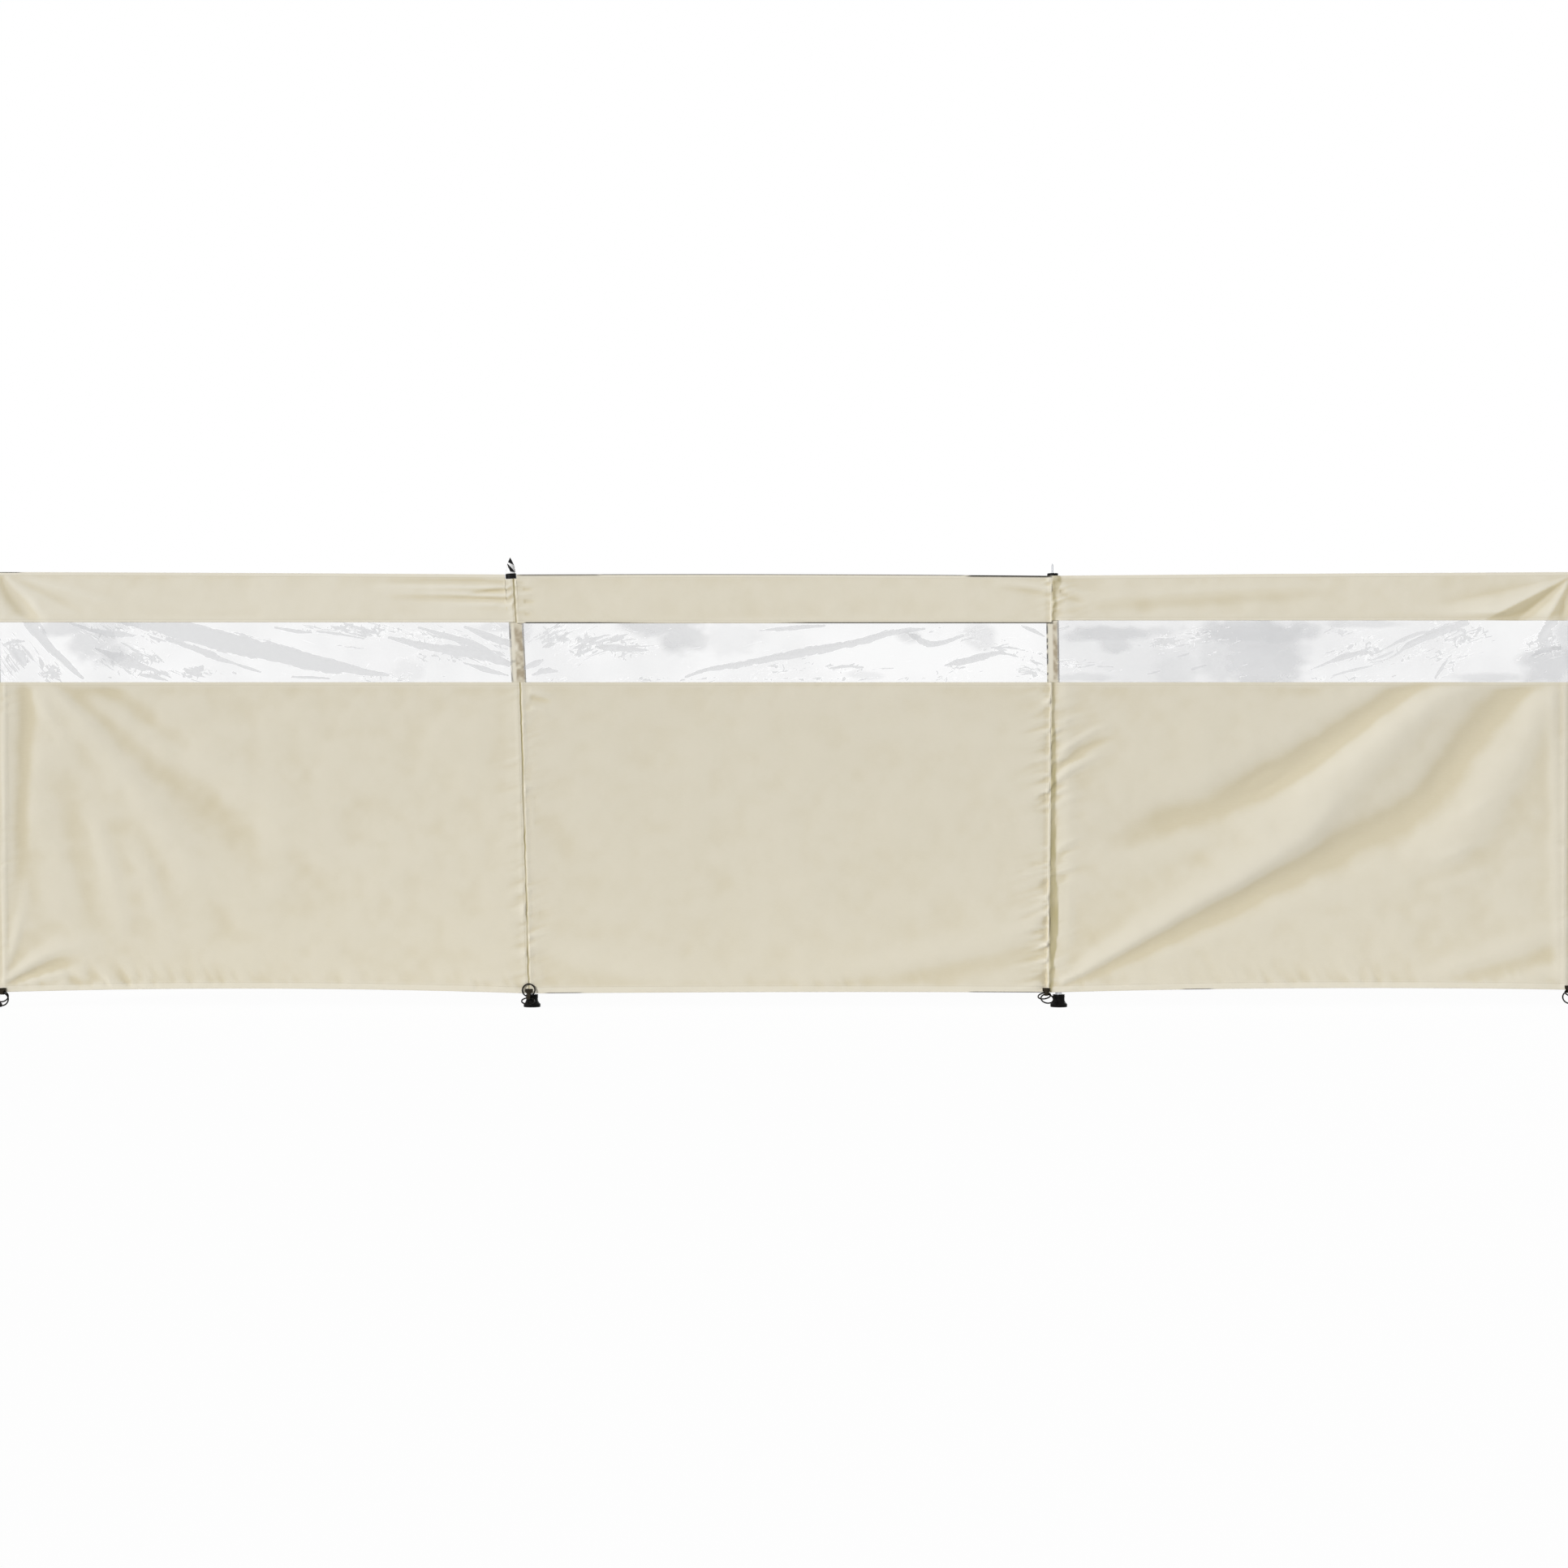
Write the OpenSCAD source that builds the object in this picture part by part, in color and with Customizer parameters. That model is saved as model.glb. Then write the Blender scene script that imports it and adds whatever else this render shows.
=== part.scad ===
// Three-bay beach windbreak: cloth with a clear window band, stretched between four
// leaning steel posts that stand in sleeves behind it.
// X runs along the windbreak, Y points from the cloth's front to the posts behind it,
// Z points up. The origin is under the middle of the first post's foot. Millimetres.

/* [Layout] */
// Nominal distance between neighbouring posts
bay_w = 1694; // [1200:1:2200]
// Sideways shift of each post's foot from its nominal place
post_shift = [0, 34, 30, 1]; // [-60:1:60]
// Lean of each post to the right, in degrees
post_lean = [-0.9, -2.8, -0.8, 0.5]; // [-4:0.1:4]

/* [Cloth] */
// Thickness of the cloth
cloth_t = 1.2; // [0.8:0.1:2]
// Height of the lowest cloth corner above the ground
ground_gap = 44; // [42:1:120]
// Height of the cloth below the window at its lowest corner
lower_h = 997; // [600:1:1300]
// Height of the clear window band in the first bay
window_h = 192; // [80:1:400]
// Height that each bay's window has over the first bay's
window_add = [0, -3, 6]; // [-20:1:20]
// Height of the cloth above the first window, at its left corner
band_h = 161; // [80:1:300]
// Height of the turned hem along the bottom
hem_h = 22; // [12:1:40]
// Height of the turned hem along the top
top_hem_h = 20; // [12:1:40]
// Width of the turned hem beside each seam
side_hem_w = 26; // [12:1:40]
// Distance of the turned hems inside the cloth's edge
hem_inset = 0.6; // [0.2:0.1:2]
// Rise of the bottom hem in the middle of each bay
hem_rise = [14, 3, 10]; // [0:1:25]
// Lift of the bottom corner at each post
hem_lift = [3, 0, 3, 11]; // [0:1:25]
// Rise of the top edge in the middle of each bay
top_rise = [1, 3, 1]; // [0:1:25]
// Drop of the top edge at each post
top_drop = [0, 8, 12, 0]; // [0:1:25]

/* [Window film] */
// Thickness of the clear film
film_t = 1; // [0.6:0.1:2]
// Width of film sewn behind the cloth along the band
film_lap = 12; // [6:1:20]
// Width of film sewn over the edge of a sleeve
film_side_lap = 6; // [3:1:8]

/* [Sleeves] */
// Flat width of each post's sleeve
sleeve_w = [56, 47, 40, 42]; // [38:1:60]
// Place of each post across its sleeve, right of the sleeve's middle
post_seat = [-14, -10, 4, 7]; // [-14:1:14]
// Gap between a post and the inside of its sleeve
sleeve_clear = 0.5; // [0.2:0.1:1]
// Height of a sleeve's lower end above the lowest cloth corner
sleeve_lift = 12; // [4:1:40]
// Gap between a sleeve's upper end and the collar
sleeve_drop = 6; // [2:1:30]
// Place of the two inner seams at the bottom corner, right of the post
seam_foot = [-6, -34]; // [-40:1:20]
// Place of the two inner seams at the window's lower edge, right of the post
seam_waist = [14, -11]; // [-14:1:14]
// Place of the two inner seams at the top corner, right of the post
seam_head = [9, -3]; // [-14:1:14]

/* [Posts] */
// Outside diameter of the steel tube
tube_d = 22; // [16:1:24]
// Wall of the steel tube
tube_wall = 1; // [0.8:0.1:2]
// Depth of each tube's upper end below the cloth's top corner
tube_drop = 10; // [4:1:14]

/* [Foot] */
// Diameter of the foot's base
foot_base_d = 54; // [44:1:80]
// Diameter of the foot's neck
foot_neck_d = 37; // [32:1:40]
// Height of the foot
foot_h = 40; // [32:1:41]
// Thickness of rubber under the tube
foot_floor = 8; // [4:1:14]
// Height of the straight neck above the flare
foot_neck_h = 13; // [8:1:20]
// Height of the flat rim round the base
foot_rim = 5; // [3:1:8]
// Radius of the grip beads round the neck
bead_r = 1.2; // [0.6:0.1:1.4]
// Distance from one grip bead to the next
bead_step = 4; // [3:0.5:6]
// Chamfer under the base's rim
foot_bevel = 1; // [0.5:0.1:2]

/* [Head] */
// Diameter of the collar on the tube's end
collar_d = 36; // [30:1:40]
// Depth of the collar's socket over the tube
collar_grip = 9; // [6:0.5:20]
// Thickness of the collar's top
collar_top = 7; // [4:0.5:12]
// Chamfer round the collar's upper rim
collar_bevel = 2; // [0.5:0.5:3]
// Chamfer round the collar's lower rim
collar_edge = 1; // [0.5:0.5:2]
// Gap between a collar and the cloth's notch on each side
notch_gap = 1; // [0.5:0.5:4]
// Diameter of the steel spike
spike_d = 8; // [6:0.5:9]
// Length of the spike's straight shaft
spike_l = 21; // [12:1:28]
// Length of the spike's point
point_l = 9; // [4:1:9]
// Diameter of the point's blunt tip
tip_d = 1.5; // [0.5:0.1:3]
// Thickness of the spike's plate, which lies on the tube's end
plate_t = 2; // [1:0.5:3]
// Diameter of the shoulder under the spike
shoulder_d = 14; // [11:1:16]
// Thickness of the shoulder
shoulder_t = 2; // [1:0.5:3]
// Height of the cone over the second spike
cone_h = 52; // [46:1:70]
// Set-back of the cone's base inside the collar's rim
cone_step = 1; // [0:0.5:2]
// Diameter of the flat on the cone's tip
cone_tip_d = 1; // [0.5:0.1:3]

/* [Peg loops] */
// Width of the webbing tab sewn on the hem
tab_w = 24; // [16:1:30]
// Width of the tab's eye
eye_w = 12; // [8:1:14]
// Thickness of the webbing
tab_t = 1.2; // [0.8:0.1:2]
// Height of webbing sewn over the hem
tab_h = 15; // [12:1:30]
// Depth of webbing below the hem's corner
tab_drop = 3; // [2:1:6]
// Inside diameter of the tab's eye
eye_d = 12; // [12:0.5:16]
// Diameter of the rubber of a peg ring
ring_d = 4.6; // [4:0.1:5]
// Diameter of a peg ring, middle to middle
ring_mean_d = 40; // [36:1:48]
// Place of each tab, right of its post's foot
tab_shift = [34, -9, -42, -35]; // [-50:1:50]
// Drop of each tab's eye below the hem's corner
eye_drop = [-1, 11, 3, 2]; // [-4:1:12]
// Distance of each tab's eye in front of the cloth
eye_out = [0, 5.2, 0, 0]; // [0:0.2:10]
// Gap between a ring and what it lies on
ring_slack = 0.3; // [0.1:0.1:0.5]

/* [Hidden] */

POSTS = 4;
CAPPED = 1;                     // index of the post whose spike wears the cone

$fn = 64;
fit = 0.1;                      // gap between turned parts
eps = 0.01;
edge_steps = 16;                // straight pieces in a curved cloth edge
wrap_steps = 24;                // flats in a sleeve's round back

tube_r = tube_d / 2;
pocket_r = tube_r + sleeve_clear;          // inside of the sleeve round the post
sleeve_r = pocket_r + cloth_t;             // outside of the sleeve round the post
back_y = -sleeve_r;                        // the cloth's back lies on the sleeves here
film_y = back_y - film_t;                  // front of the film and of the turned hems
cloth_y = film_y - cloth_t;                // front of the cloth

window_z0 = ground_gap + lower_h;          // lower edge of the windows
cloth_top = window_z0 + window_h + band_h;

post_l = cloth_top - tube_drop;            // a tube's upper end, along its post
head_z = post_l + collar_top;              // top of the collar, along the post
sleeve_s0 = ground_gap + sleeve_lift;      // a sleeve's two ends, along its post
sleeve_s1 = post_l - collar_grip - sleeve_drop;

beads = 3;                                 // grip beads round each foot's neck
cone_steps = 14;                           // flats along the cone's side
cone_full = 1.7;                           // 1 gives a straight cone, more a rounder one

eye_r = eye_d / 2 + tab_t;                 // outside of a tab's eye
eye_seat = eye_d / 2 - ring_d / 2 - ring_slack;
ring_r = ring_mean_d / 2;
ring_sag = ring_r - sqrt(ring_r * ring_r - eye_w * eye_w / 4);   // over half the eye's width

// How the rings of each post lie, as [turn about the upright, slope below level, rings
// under it in the eye]. A ring starts in the eye and runs forwards, and a slope under -90
// stands it up against the cloth.
RING_LIE = [
    [[0, 80, 0], [8, 50, 1]],
    [[0, -103, 1], [0, 24, 0]],
    [[-25, 25, 1], [6, 40, 0]],
    [[-4, 66, 0], [14, 28, 1]]
];

CLOTH = [0.86, 0.84, 0.77];
SLEEVE_CLOTH = [0.84, 0.80, 0.72];
FILM = [0.93, 0.94, 0.95, 0.45];
STEEL = [0.75, 0.76, 0.78];
BLACK = [0.05, 0.05, 0.05];
WEBBING = [0.17, 0.14, 0.10];

// ---- where the posts, sleeves and seams run ----

function mix(a, b, t) = a + (b - a) * t;
function foot_x(i) = i * bay_w + post_shift[i];
function post_x(i, z) = foot_x(i) + z * tan(post_lean[i]);
function level(i, w) = w / cos(post_lean[i]);        // level width across a leaning post
function half_left(i) = sleeve_w[i] / 2 + post_seat[i];
function half_right(i) = sleeve_w[i] / 2 - post_seat[i];
function sleeve_left(i, z) = post_x(i, z) - level(i, half_left(i));
function sleeve_right(i, z) = post_x(i, z) + level(i, half_right(i));

// Inner seams bend once, at the window's lower edge
function inner_seam(k, z) = z < window_z0
    ? mix(seam_foot[k], seam_waist[k], (z - ground_gap) / lower_h)
    : mix(seam_waist[k], seam_head[k], (z - window_z0) / (cloth_top - window_z0));
function seam_x(i, z) =
    i == 0 ? sleeve_left(i, z) :
    i == POSTS - 1 ? sleeve_right(i, z) :
    post_x(i, z) + inner_seam(i - 1, z);

function bow(t) = 4 * t * (1 - t);                   // 0 at the ends, 1 in the middle
function hem_z(b, t) = ground_gap + mix(hem_lift[b], hem_lift[b + 1], t) + hem_rise[b] * bow(t);
function edge_z(b, t) = cloth_top - mix(top_drop[b], top_drop[b + 1], t) + top_rise[b] * bow(t);
function window_z1(b) = window_z0 + window_h + window_add[b];

// ---- helpers ----

// An outline in X and Z, stood up with its front at y and thickness t
module upright(y, t) {
    translate([0, y + t, 0]) rotate([90, 0, 0]) linear_extrude(t) children();
}

// Children drawn round an upright axis, leant over as post i
module on_post(i) {
    translate([foot_x(i), 0, 0]) rotate([0, post_lean[i], 0]) children();
}

// Point of bay b at height z, at share t of the way between its seams, less an inset
function in_bay(b, t, z, inset) = [mix(seam_x(b, z) + inset, seam_x(b + 1, z) - inset, t), z];
function shares(n) = [for (k = [0:n]) k / n];

// Edges of a strip: heights at equal shares along the bay
function hem_line(b, up) = [for (t = shares(edge_steps)) hem_z(b, t) + up];
function edge_line(b, down) = [for (t = shares(edge_steps)) edge_z(b, t) - down];
function level_line(z) = [z, z];

// The part of bay b between two such edges, with sides along the seams
module strip(b, low, high, inset = 0) {
    nl = len(low) - 1;
    nh = len(high) - 1;
    polygon(concat(
        [for (k = [0:nl]) in_bay(b, k / nl, low[k], inset)],
        [for (k = [nh:-1:0]) in_bay(b, k / nh, high[k], inset)]
    ));
}

// ---- cloth ----

// Cloth below the window, with hems turned to the back at the bottom and the seams
module lower_panel(b) {
    color(CLOTH) {
        upright(cloth_y, cloth_t) strip(b, hem_line(b, 0), level_line(window_z0));
        upright(film_y, film_t) difference() {
            strip(b, hem_line(b, hem_inset), level_line(window_z0 - film_lap), hem_inset);
            strip(b, hem_line(b, hem_h), level_line(window_z0), side_hem_w);
        }
    }
}

// Cloth above the window, notched where the collars stand through it
module upper_band(b) {
    notch_w = collar_d + 2 * notch_gap;
    color(CLOTH) difference() {
        union() {
            upright(cloth_y, cloth_t) strip(b, level_line(window_z1(b)), edge_line(b, 0));
            upright(film_y, film_t) difference() {
                strip(b, level_line(window_z1(b) + film_lap), edge_line(b, hem_inset), hem_inset);
                strip(b, level_line(window_z1(b)), edge_line(b, top_hem_h), side_hem_w);
            }
        }
        for (i = [b, b + 1]) on_post(i)
            translate([-notch_w / 2, cloth_y - notch_gap, post_l - collar_grip - notch_gap])
                cube([notch_w, film_t + cloth_t + 2 * notch_gap, notch_w]);
    }
}

// Clear film behind the cloth, sewn over the edges of the sleeves
module window(b) {
    z0 = window_z0 - film_lap;
    z1 = window_z1(b) + film_lap;
    color(FILM) upright(film_y, film_t) polygon([
        [sleeve_right(b, z0) - film_side_lap, z0],
        [sleeve_left(b + 1, z0) + film_side_lap, z0],
        [sleeve_left(b + 1, z1) + film_side_lap, z1],
        [sleeve_right(b, z1) - film_side_lap, z1]
    ]);
}

// ---- sleeves: a flat front sewn to the cloth, the back drawn tight round the post ----

// Angle at which cloth from the front's edge, e from the post, runs onto the round
function wrap_angle(e) = atan2(-sleeve_r, e) + acos(sleeve_r / norm([e, sleeve_r]));

// A flat front tangent to a round of radius r, which it meets again at the angles a and b
module sleeve_outline(r, a, b) {
    polygon(concat(
        [[-r * (1 + sin(a)) / cos(a), -r], [r * (1 + sin(b)) / cos(b), -r]],
        [for (t = shares(wrap_steps)) r * [cos(mix(b, 180 - a, t)), sin(mix(b, 180 - a, t))]]
    ));
}

module sleeve(i) {
    a = wrap_angle(half_left(i));
    b = wrap_angle(half_right(i));
    color(SLEEVE_CLOTH) on_post(i) translate([0, 0, sleeve_s0])
        linear_extrude(sleeve_s1 - sleeve_s0) difference() {
            sleeve_outline(sleeve_r, a, b);
            sleeve_outline(pocket_r, a, b);
        }
}

// ---- posts ----

module post(i) {
    color(STEEL) on_post(i) translate([0, 0, foot_floor]) difference() {
        cylinder(r = tube_r, h = post_l - foot_floor);
        translate([0, 0, -eps]) cylinder(r = tube_r - tube_wall, h = post_l);
    }
}

// Rubber foot: a level base, a flare and a beaded neck, with a socket that leans as the post
module foot(i) {
    neck_r = foot_neck_d / 2;
    flare_r = foot_h - foot_rim - foot_neck_h;
    color(BLACK) difference() {
        translate([foot_x(i), 0, 0]) {
            rotate_extrude() difference() {
                square([foot_base_d / 2, foot_rim + flare_r]);
                translate([neck_r + flare_r, foot_rim + flare_r]) circle(flare_r);
                translate([foot_base_d / 2 - foot_bevel, -eps])
                    polygon(2 * foot_bevel * [[0, 0], [1, 0], [1, 1]]);
            }
            cylinder(r = neck_r, h = foot_h);
            for (k = [0:beads - 1]) translate([0, 0, foot_h - bead_r - k * bead_step])
                rotate_extrude() translate([neck_r, 0]) circle(bead_r, $fn = 24);
        }
        on_post(i) translate([0, 0, foot_floor]) cylinder(r = tube_r, h = foot_h);
    }
}

// ---- heads ----

// Black cap pushed over the tube's end, with a hole for the spike
module collar(i) {
    z0 = post_l - collar_grip;
    r = collar_d / 2;
    color(BLACK) on_post(i) difference() {
        rotate_extrude() polygon([
            [0, z0], [r - collar_edge, z0], [r, z0 + collar_edge],
            [r, head_z - collar_bevel], [r - collar_bevel, head_z], [0, head_z]
        ]);
        translate([0, 0, z0 - eps])
            cylinder(r = tube_r + fit / 2, h = collar_grip + plate_t + eps);
        translate([0, 0, post_l]) cylinder(d = spike_d + fit, h = collar_top + eps);
    }
}

module spike(i) {
    color(STEEL) on_post(i) {
        translate([0, 0, post_l]) cylinder(r = tube_r - tube_wall, h = plate_t);
        translate([0, 0, post_l]) cylinder(d = spike_d, h = collar_top + shoulder_t + spike_l);
        translate([0, 0, head_z]) cylinder(d = shoulder_d, h = shoulder_t);
        translate([0, 0, head_z + shoulder_t + spike_l])
            cylinder(d1 = spike_d, d2 = tip_d, h = point_l);
    }
}

// Rounded cone that covers the spike of the second post
function cone_r(t) = mix(collar_d / 2 - cone_step, cone_tip_d / 2, pow(t, cone_full));
module point_cone(i) {
    color(BLACK) on_post(i) translate([0, 0, head_z]) difference() {
        rotate_extrude() polygon(concat(
            [[0, 0]],
            [for (t = shares(cone_steps)) [cone_r(t), cone_h * t]],
            [[0, cone_h]]
        ));
        translate([0, 0, -eps]) cylinder(d = shoulder_d + 2 * fit, h = shoulder_t + fit);
        cylinder(d = spike_d + 2 * fit, h = shoulder_t + spike_l);
        translate([0, 0, shoulder_t + spike_l - eps])
            cylinder(d1 = spike_d + 2 * fit, d2 = tip_d + 2 * fit, h = point_l + fit);
    }
}

// ---- peg loops ----

function tab_x(i) = foot_x(i) + tab_shift[i];
function hem_corner(i) = ground_gap + hem_lift[i];
function eye_y(i) = cloth_y - eye_out[i] - eye_r;
function eye_z(i) = hem_corner(i) - eye_drop[i];

// Level slab of webbing from point a to point b in Y and Z, as wide as the eye
module strap(a, b) {
    translate([-eye_w / 2, a[0], a[1]]) rotate([atan2(b[1] - a[1], b[0] - a[0]), 0, 0])
        translate([0, 0, -tab_t / 2]) cube([eye_w, norm(b - a), tab_t]);
}

// Webbing sewn over the front of the hem, with its end turned into an eye
module tab(i) {
    z0 = hem_corner(i) - tab_drop;
    color(WEBBING) translate([tab_x(i), 0, 0]) {
        translate([-tab_w / 2, cloth_y - tab_t, z0]) cube([tab_w, tab_t, tab_drop + tab_h]);
        translate([-eye_w / 2, eye_y(i), eye_z(i)]) rotate([0, 90, 0]) difference() {
            cylinder(r = eye_r, h = eye_w);
            translate([0, 0, -eps]) cylinder(d = eye_d, h = eye_w + 2 * eps);
        }
        if (eye_out[i] > 0) strap(
            [cloth_y - tab_t / 2, z0 + tab_t / 2],
            [eye_y(i), eye_z(i) + eye_r - tab_t / 2]
        );
    }
}

// A rubber ring whose cord runs through the eye, on the eye's floor or on the ring below
module peg_ring(i, lie) {
    lift = lie[2] * (ring_d + ring_slack) - eye_seat + ring_sag;
    translate([tab_x(i), eye_y(i) + ring_sag, eye_z(i) + lift])
        rotate([0, 0, lie[0]]) rotate([lie[1], 0, 0]) translate([0, -ring_r, 0])
            rotate_extrude() translate([ring_r, 0]) circle(d = ring_d, $fn = 32);
}

module peg_rings(i) {
    color(BLACK) for (lie = RING_LIE[i]) peg_ring(i, lie);
}

// ---- nodes ----

post(0);  // post_1
post(1);  // post_2
post(2);  // post_3
post(3);  // post_4
foot(0);  // foot_1
foot(1);  // foot_2
foot(2);  // foot_3
foot(3);  // foot_4
collar(0);  // collar_1
collar(1);  // collar_2
collar(2);  // collar_3
collar(3);  // collar_4
spike(0);  // spike_1
spike(1);  // spike_2
spike(2);  // spike_3
spike(3);  // spike_4
point_cone(CAPPED);  // point_cone_2
sleeve(0);  // sleeve_1
sleeve(1);  // sleeve_2
sleeve(2);  // sleeve_3
sleeve(3);  // sleeve_4
tab(0);  // tab_1
tab(1);  // tab_2
tab(2);  // tab_3
tab(3);  // tab_4
peg_rings(0);  // peg_rings_1
peg_rings(1);  // peg_rings_2
peg_rings(2);  // peg_rings_3
peg_rings(3);  // peg_rings_4
lower_panel(0);  // lower_panel_1
lower_panel(1);  // lower_panel_2
lower_panel(2);  // lower_panel_3
window(0);  // window_1
window(1);  // window_2
window(2);  // window_3
upper_band(0);  // upper_band_1
upper_band(1);  // upper_band_2
upper_band(2);  // upper_band_3
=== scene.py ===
"""Looks of a three-bay beach windbreak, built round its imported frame.

The cloth, the clear windows, the sleeves and the webbing tabs are dense meshes whose folds,
puckers and wrinkles are moved into them by the functions below. The posts, feet, heads and
peg rings are the frame's own nodes with new materials. Metres, except where a name or a
comment says millimetres.
"""
import math
from functools import partialmethod, reduce

import bpy
import numpy as np
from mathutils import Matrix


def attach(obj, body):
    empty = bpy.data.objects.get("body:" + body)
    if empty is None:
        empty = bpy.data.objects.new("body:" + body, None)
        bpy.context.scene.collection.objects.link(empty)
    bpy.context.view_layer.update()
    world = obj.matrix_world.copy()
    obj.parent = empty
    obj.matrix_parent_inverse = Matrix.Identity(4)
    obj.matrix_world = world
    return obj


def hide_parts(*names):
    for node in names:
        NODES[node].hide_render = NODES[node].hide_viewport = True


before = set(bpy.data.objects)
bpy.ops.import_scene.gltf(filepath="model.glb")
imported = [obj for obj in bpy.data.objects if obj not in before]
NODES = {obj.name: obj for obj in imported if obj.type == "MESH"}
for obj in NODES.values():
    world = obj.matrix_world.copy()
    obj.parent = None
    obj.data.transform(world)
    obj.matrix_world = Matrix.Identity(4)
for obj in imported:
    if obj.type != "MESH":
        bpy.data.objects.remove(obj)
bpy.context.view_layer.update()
MM = 0.001

# ---------------- camera
SCENE = bpy.context.scene
VIEW_W = 5.023  # width of the view at the cloth
VIEW_FAR = 9.0  # distance from the camera to the cloth
VIEW_X, VIEW_Y, VIEW_Z = 2.5364, -0.0149, 0.715  # where the camera points
SENSOR_W = 36.0  # in millimetres

camera_data = bpy.data.cameras.new("camera")
camera_data.sensor_width = SENSOR_W
camera_data.lens = SENSOR_W * VIEW_FAR / VIEW_W
camera = bpy.data.objects.new("camera", camera_data)
camera.location = (VIEW_X, VIEW_Y - VIEW_FAR, VIEW_Z)
camera.rotation_euler = (math.radians(90), 0, 0)
SCENE.collection.objects.link(camera)
SCENE.camera = camera

# ---------------- the frame's named sizes, in millimetres
FOOT_X = [0.0, 1728.0, 3418.0, 5083.0]
LEAN = [math.radians(a) for a in (-0.9, -2.8, -0.8, 0.5)]
GROUND_GAP = 44.0
LOWER_H = 997.0
WINDOW_Z0 = GROUND_GAP + LOWER_H
WINDOW_Z1 = [WINDOW_Z0 + h for h in (192.0, 189.0, 198.0)]
CLOTH_TOP = 1394.0
HEM_H, TOP_HEM_H, SIDE_HEM_W = 22.0, 20.0, 26.0
HEM_RISE, HEM_LIFT = [14, 3, 10], [3, 0, 3, 11]
TOP_RISE, TOP_DROP = [1, 3, 1], [0, 8, 12, 0]
FILM_LAP, FILM_SIDE_LAP = 12.0, 6.0
SLEEVE_W = [56.0, 47.0, 40.0, 42.0]
POST_SEAT = [-14.0, -10.0, 4.0, 7.0]
SEAM_FOOT, SEAM_WAIST, SEAM_HEAD = [-6.0, -34.0], [14.0, -11.0], [9.0, -3.0]
POCKET_R, SLEEVE_R = 11.5, 12.7
POST_L, COLLAR_GRIP = 1384.0, 9.0
SLEEVE_S0, SLEEVE_S1 = 56.0, 1369.0
COLLAR_HALF = 19.0  # half of the notch that a collar stands in
NOTCHED = [0, 1, 3]  # posts whose collar stands in a notch; the third's is behind the cloth
CLOTH_Y, FILM_Y = -14.9, -13.7
CLOTH_T, HEM_T, FILM_T = 0.9, 2.0, 0.45  # how thick the sheets are
LOWER_CELL, UPPER_CELL, FILM_CELL = (8.0, 6.4), (6.5, 5.0), (4.6, 4.2)  # of the sheets' lattices
SLEEVE_CELL = 7.0
ROUNDED = 0.6  # how much is taken off the cloth's edges
STAND_BEFORE_CAP = 6.6  # how far the cloth stands before its flat place over the third collar
FILM_STAND, FILM_BEHIND = 3.0, 0.25  # of the film, before its flat place and at its laps
EVERYWHERE = 1e6  # a cell so large that noise doesn't change across it
NO_EDGE = 500.0  # a distance at which an edge has no stitches
END_CREASE = [29.0, 5048.0]  # creases down the cloth beside the two end sleeves


def mix(a, b, t):
    return a + (b - a) * t


def bow(t):
    return 4 * t * (1 - t)


def post_x(i, z):
    return FOOT_X[i] + z * math.tan(LEAN[i])


def sleeve_left(i, z):
    return post_x(i, z) - (SLEEVE_W[i] / 2 + POST_SEAT[i]) / math.cos(LEAN[i])


def sleeve_right(i, z):
    return post_x(i, z) + (SLEEVE_W[i] / 2 - POST_SEAT[i]) / math.cos(LEAN[i])


def seam_x(i, z):
    """The seam at post i, at the heights z."""
    if i == 0:
        return sleeve_left(i, z)
    if i == 3:
        return sleeve_right(i, z)
    low = mix(SEAM_FOOT[i - 1], SEAM_WAIST[i - 1], (z - GROUND_GAP) / LOWER_H)
    high = mix(SEAM_WAIST[i - 1], SEAM_HEAD[i - 1], (z - WINDOW_Z0) / (CLOTH_TOP - WINDOW_Z0))
    return post_x(i, z) + np.where(z < WINDOW_Z0, low, high)


def beside(x, z, b):
    """How far points are from the creases at the left and the right of bay b."""
    left = x - (END_CREASE[0] if b == 0 else seam_x(b, z))
    right = (END_CREASE[1] if b == 2 else seam_x(b + 1, z)) - x
    return left, right


def hem_z(b, t):
    return GROUND_GAP + mix(HEM_LIFT[b], HEM_LIFT[b + 1], t) + HEM_RISE[b] * bow(t)


def top_z(b, t):
    return CLOTH_TOP - mix(TOP_DROP[b], TOP_DROP[b + 1], t) + TOP_RISE[b] * bow(t)


def notch_z(x):
    """The bottom of the collars' notches at places along the top, and a great height elsewhere."""
    out = np.full(x.shape, 1e6)
    for i in NOTCHED:
        off = x - post_x(i, POST_L)
        bottom = (POST_L - COLLAR_GRIP - 1) * math.cos(LEAN[i]) - off * math.sin(LEAN[i])
        out = np.where(np.abs(off) < COLLAR_HALF, bottom, out)
    return out


# ---------------- fields over the cloth, in millimetres
def smooth(lo, hi, v):
    """0 under lo, 1 over hi, with a soft step between."""
    t = np.clip((v - lo) / (hi - lo), 0.0, 1.0)
    return t * t * (3 - 2 * t)


def bump(v, at, width):
    return np.exp(-((v - at) / width) ** 2)


def noise(x, z, cell_x, cell_z, seed):
    """Smooth seeded noise between -1 and 1, with cells of the given size."""
    rng = np.random.RandomState(seed)
    table = rng.uniform(-1, 1, (257, 257))
    u, v = x / cell_x + 40.0, z / cell_z + 40.0
    i, j = np.floor(u).astype(int), np.floor(v).astype(int)
    fu, fv = u - i, v - j
    fu, fv = fu * fu * (3 - 2 * fu), fv * fv * (3 - 2 * fv)
    i0, i1, j0, j1 = i % 257, (i + 1) % 257, j % 257, (j + 1) % 257
    return mix(mix(table[i0, j0], table[i1, j0], fu), mix(table[i0, j1], table[i1, j1], fu), fv)


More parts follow.
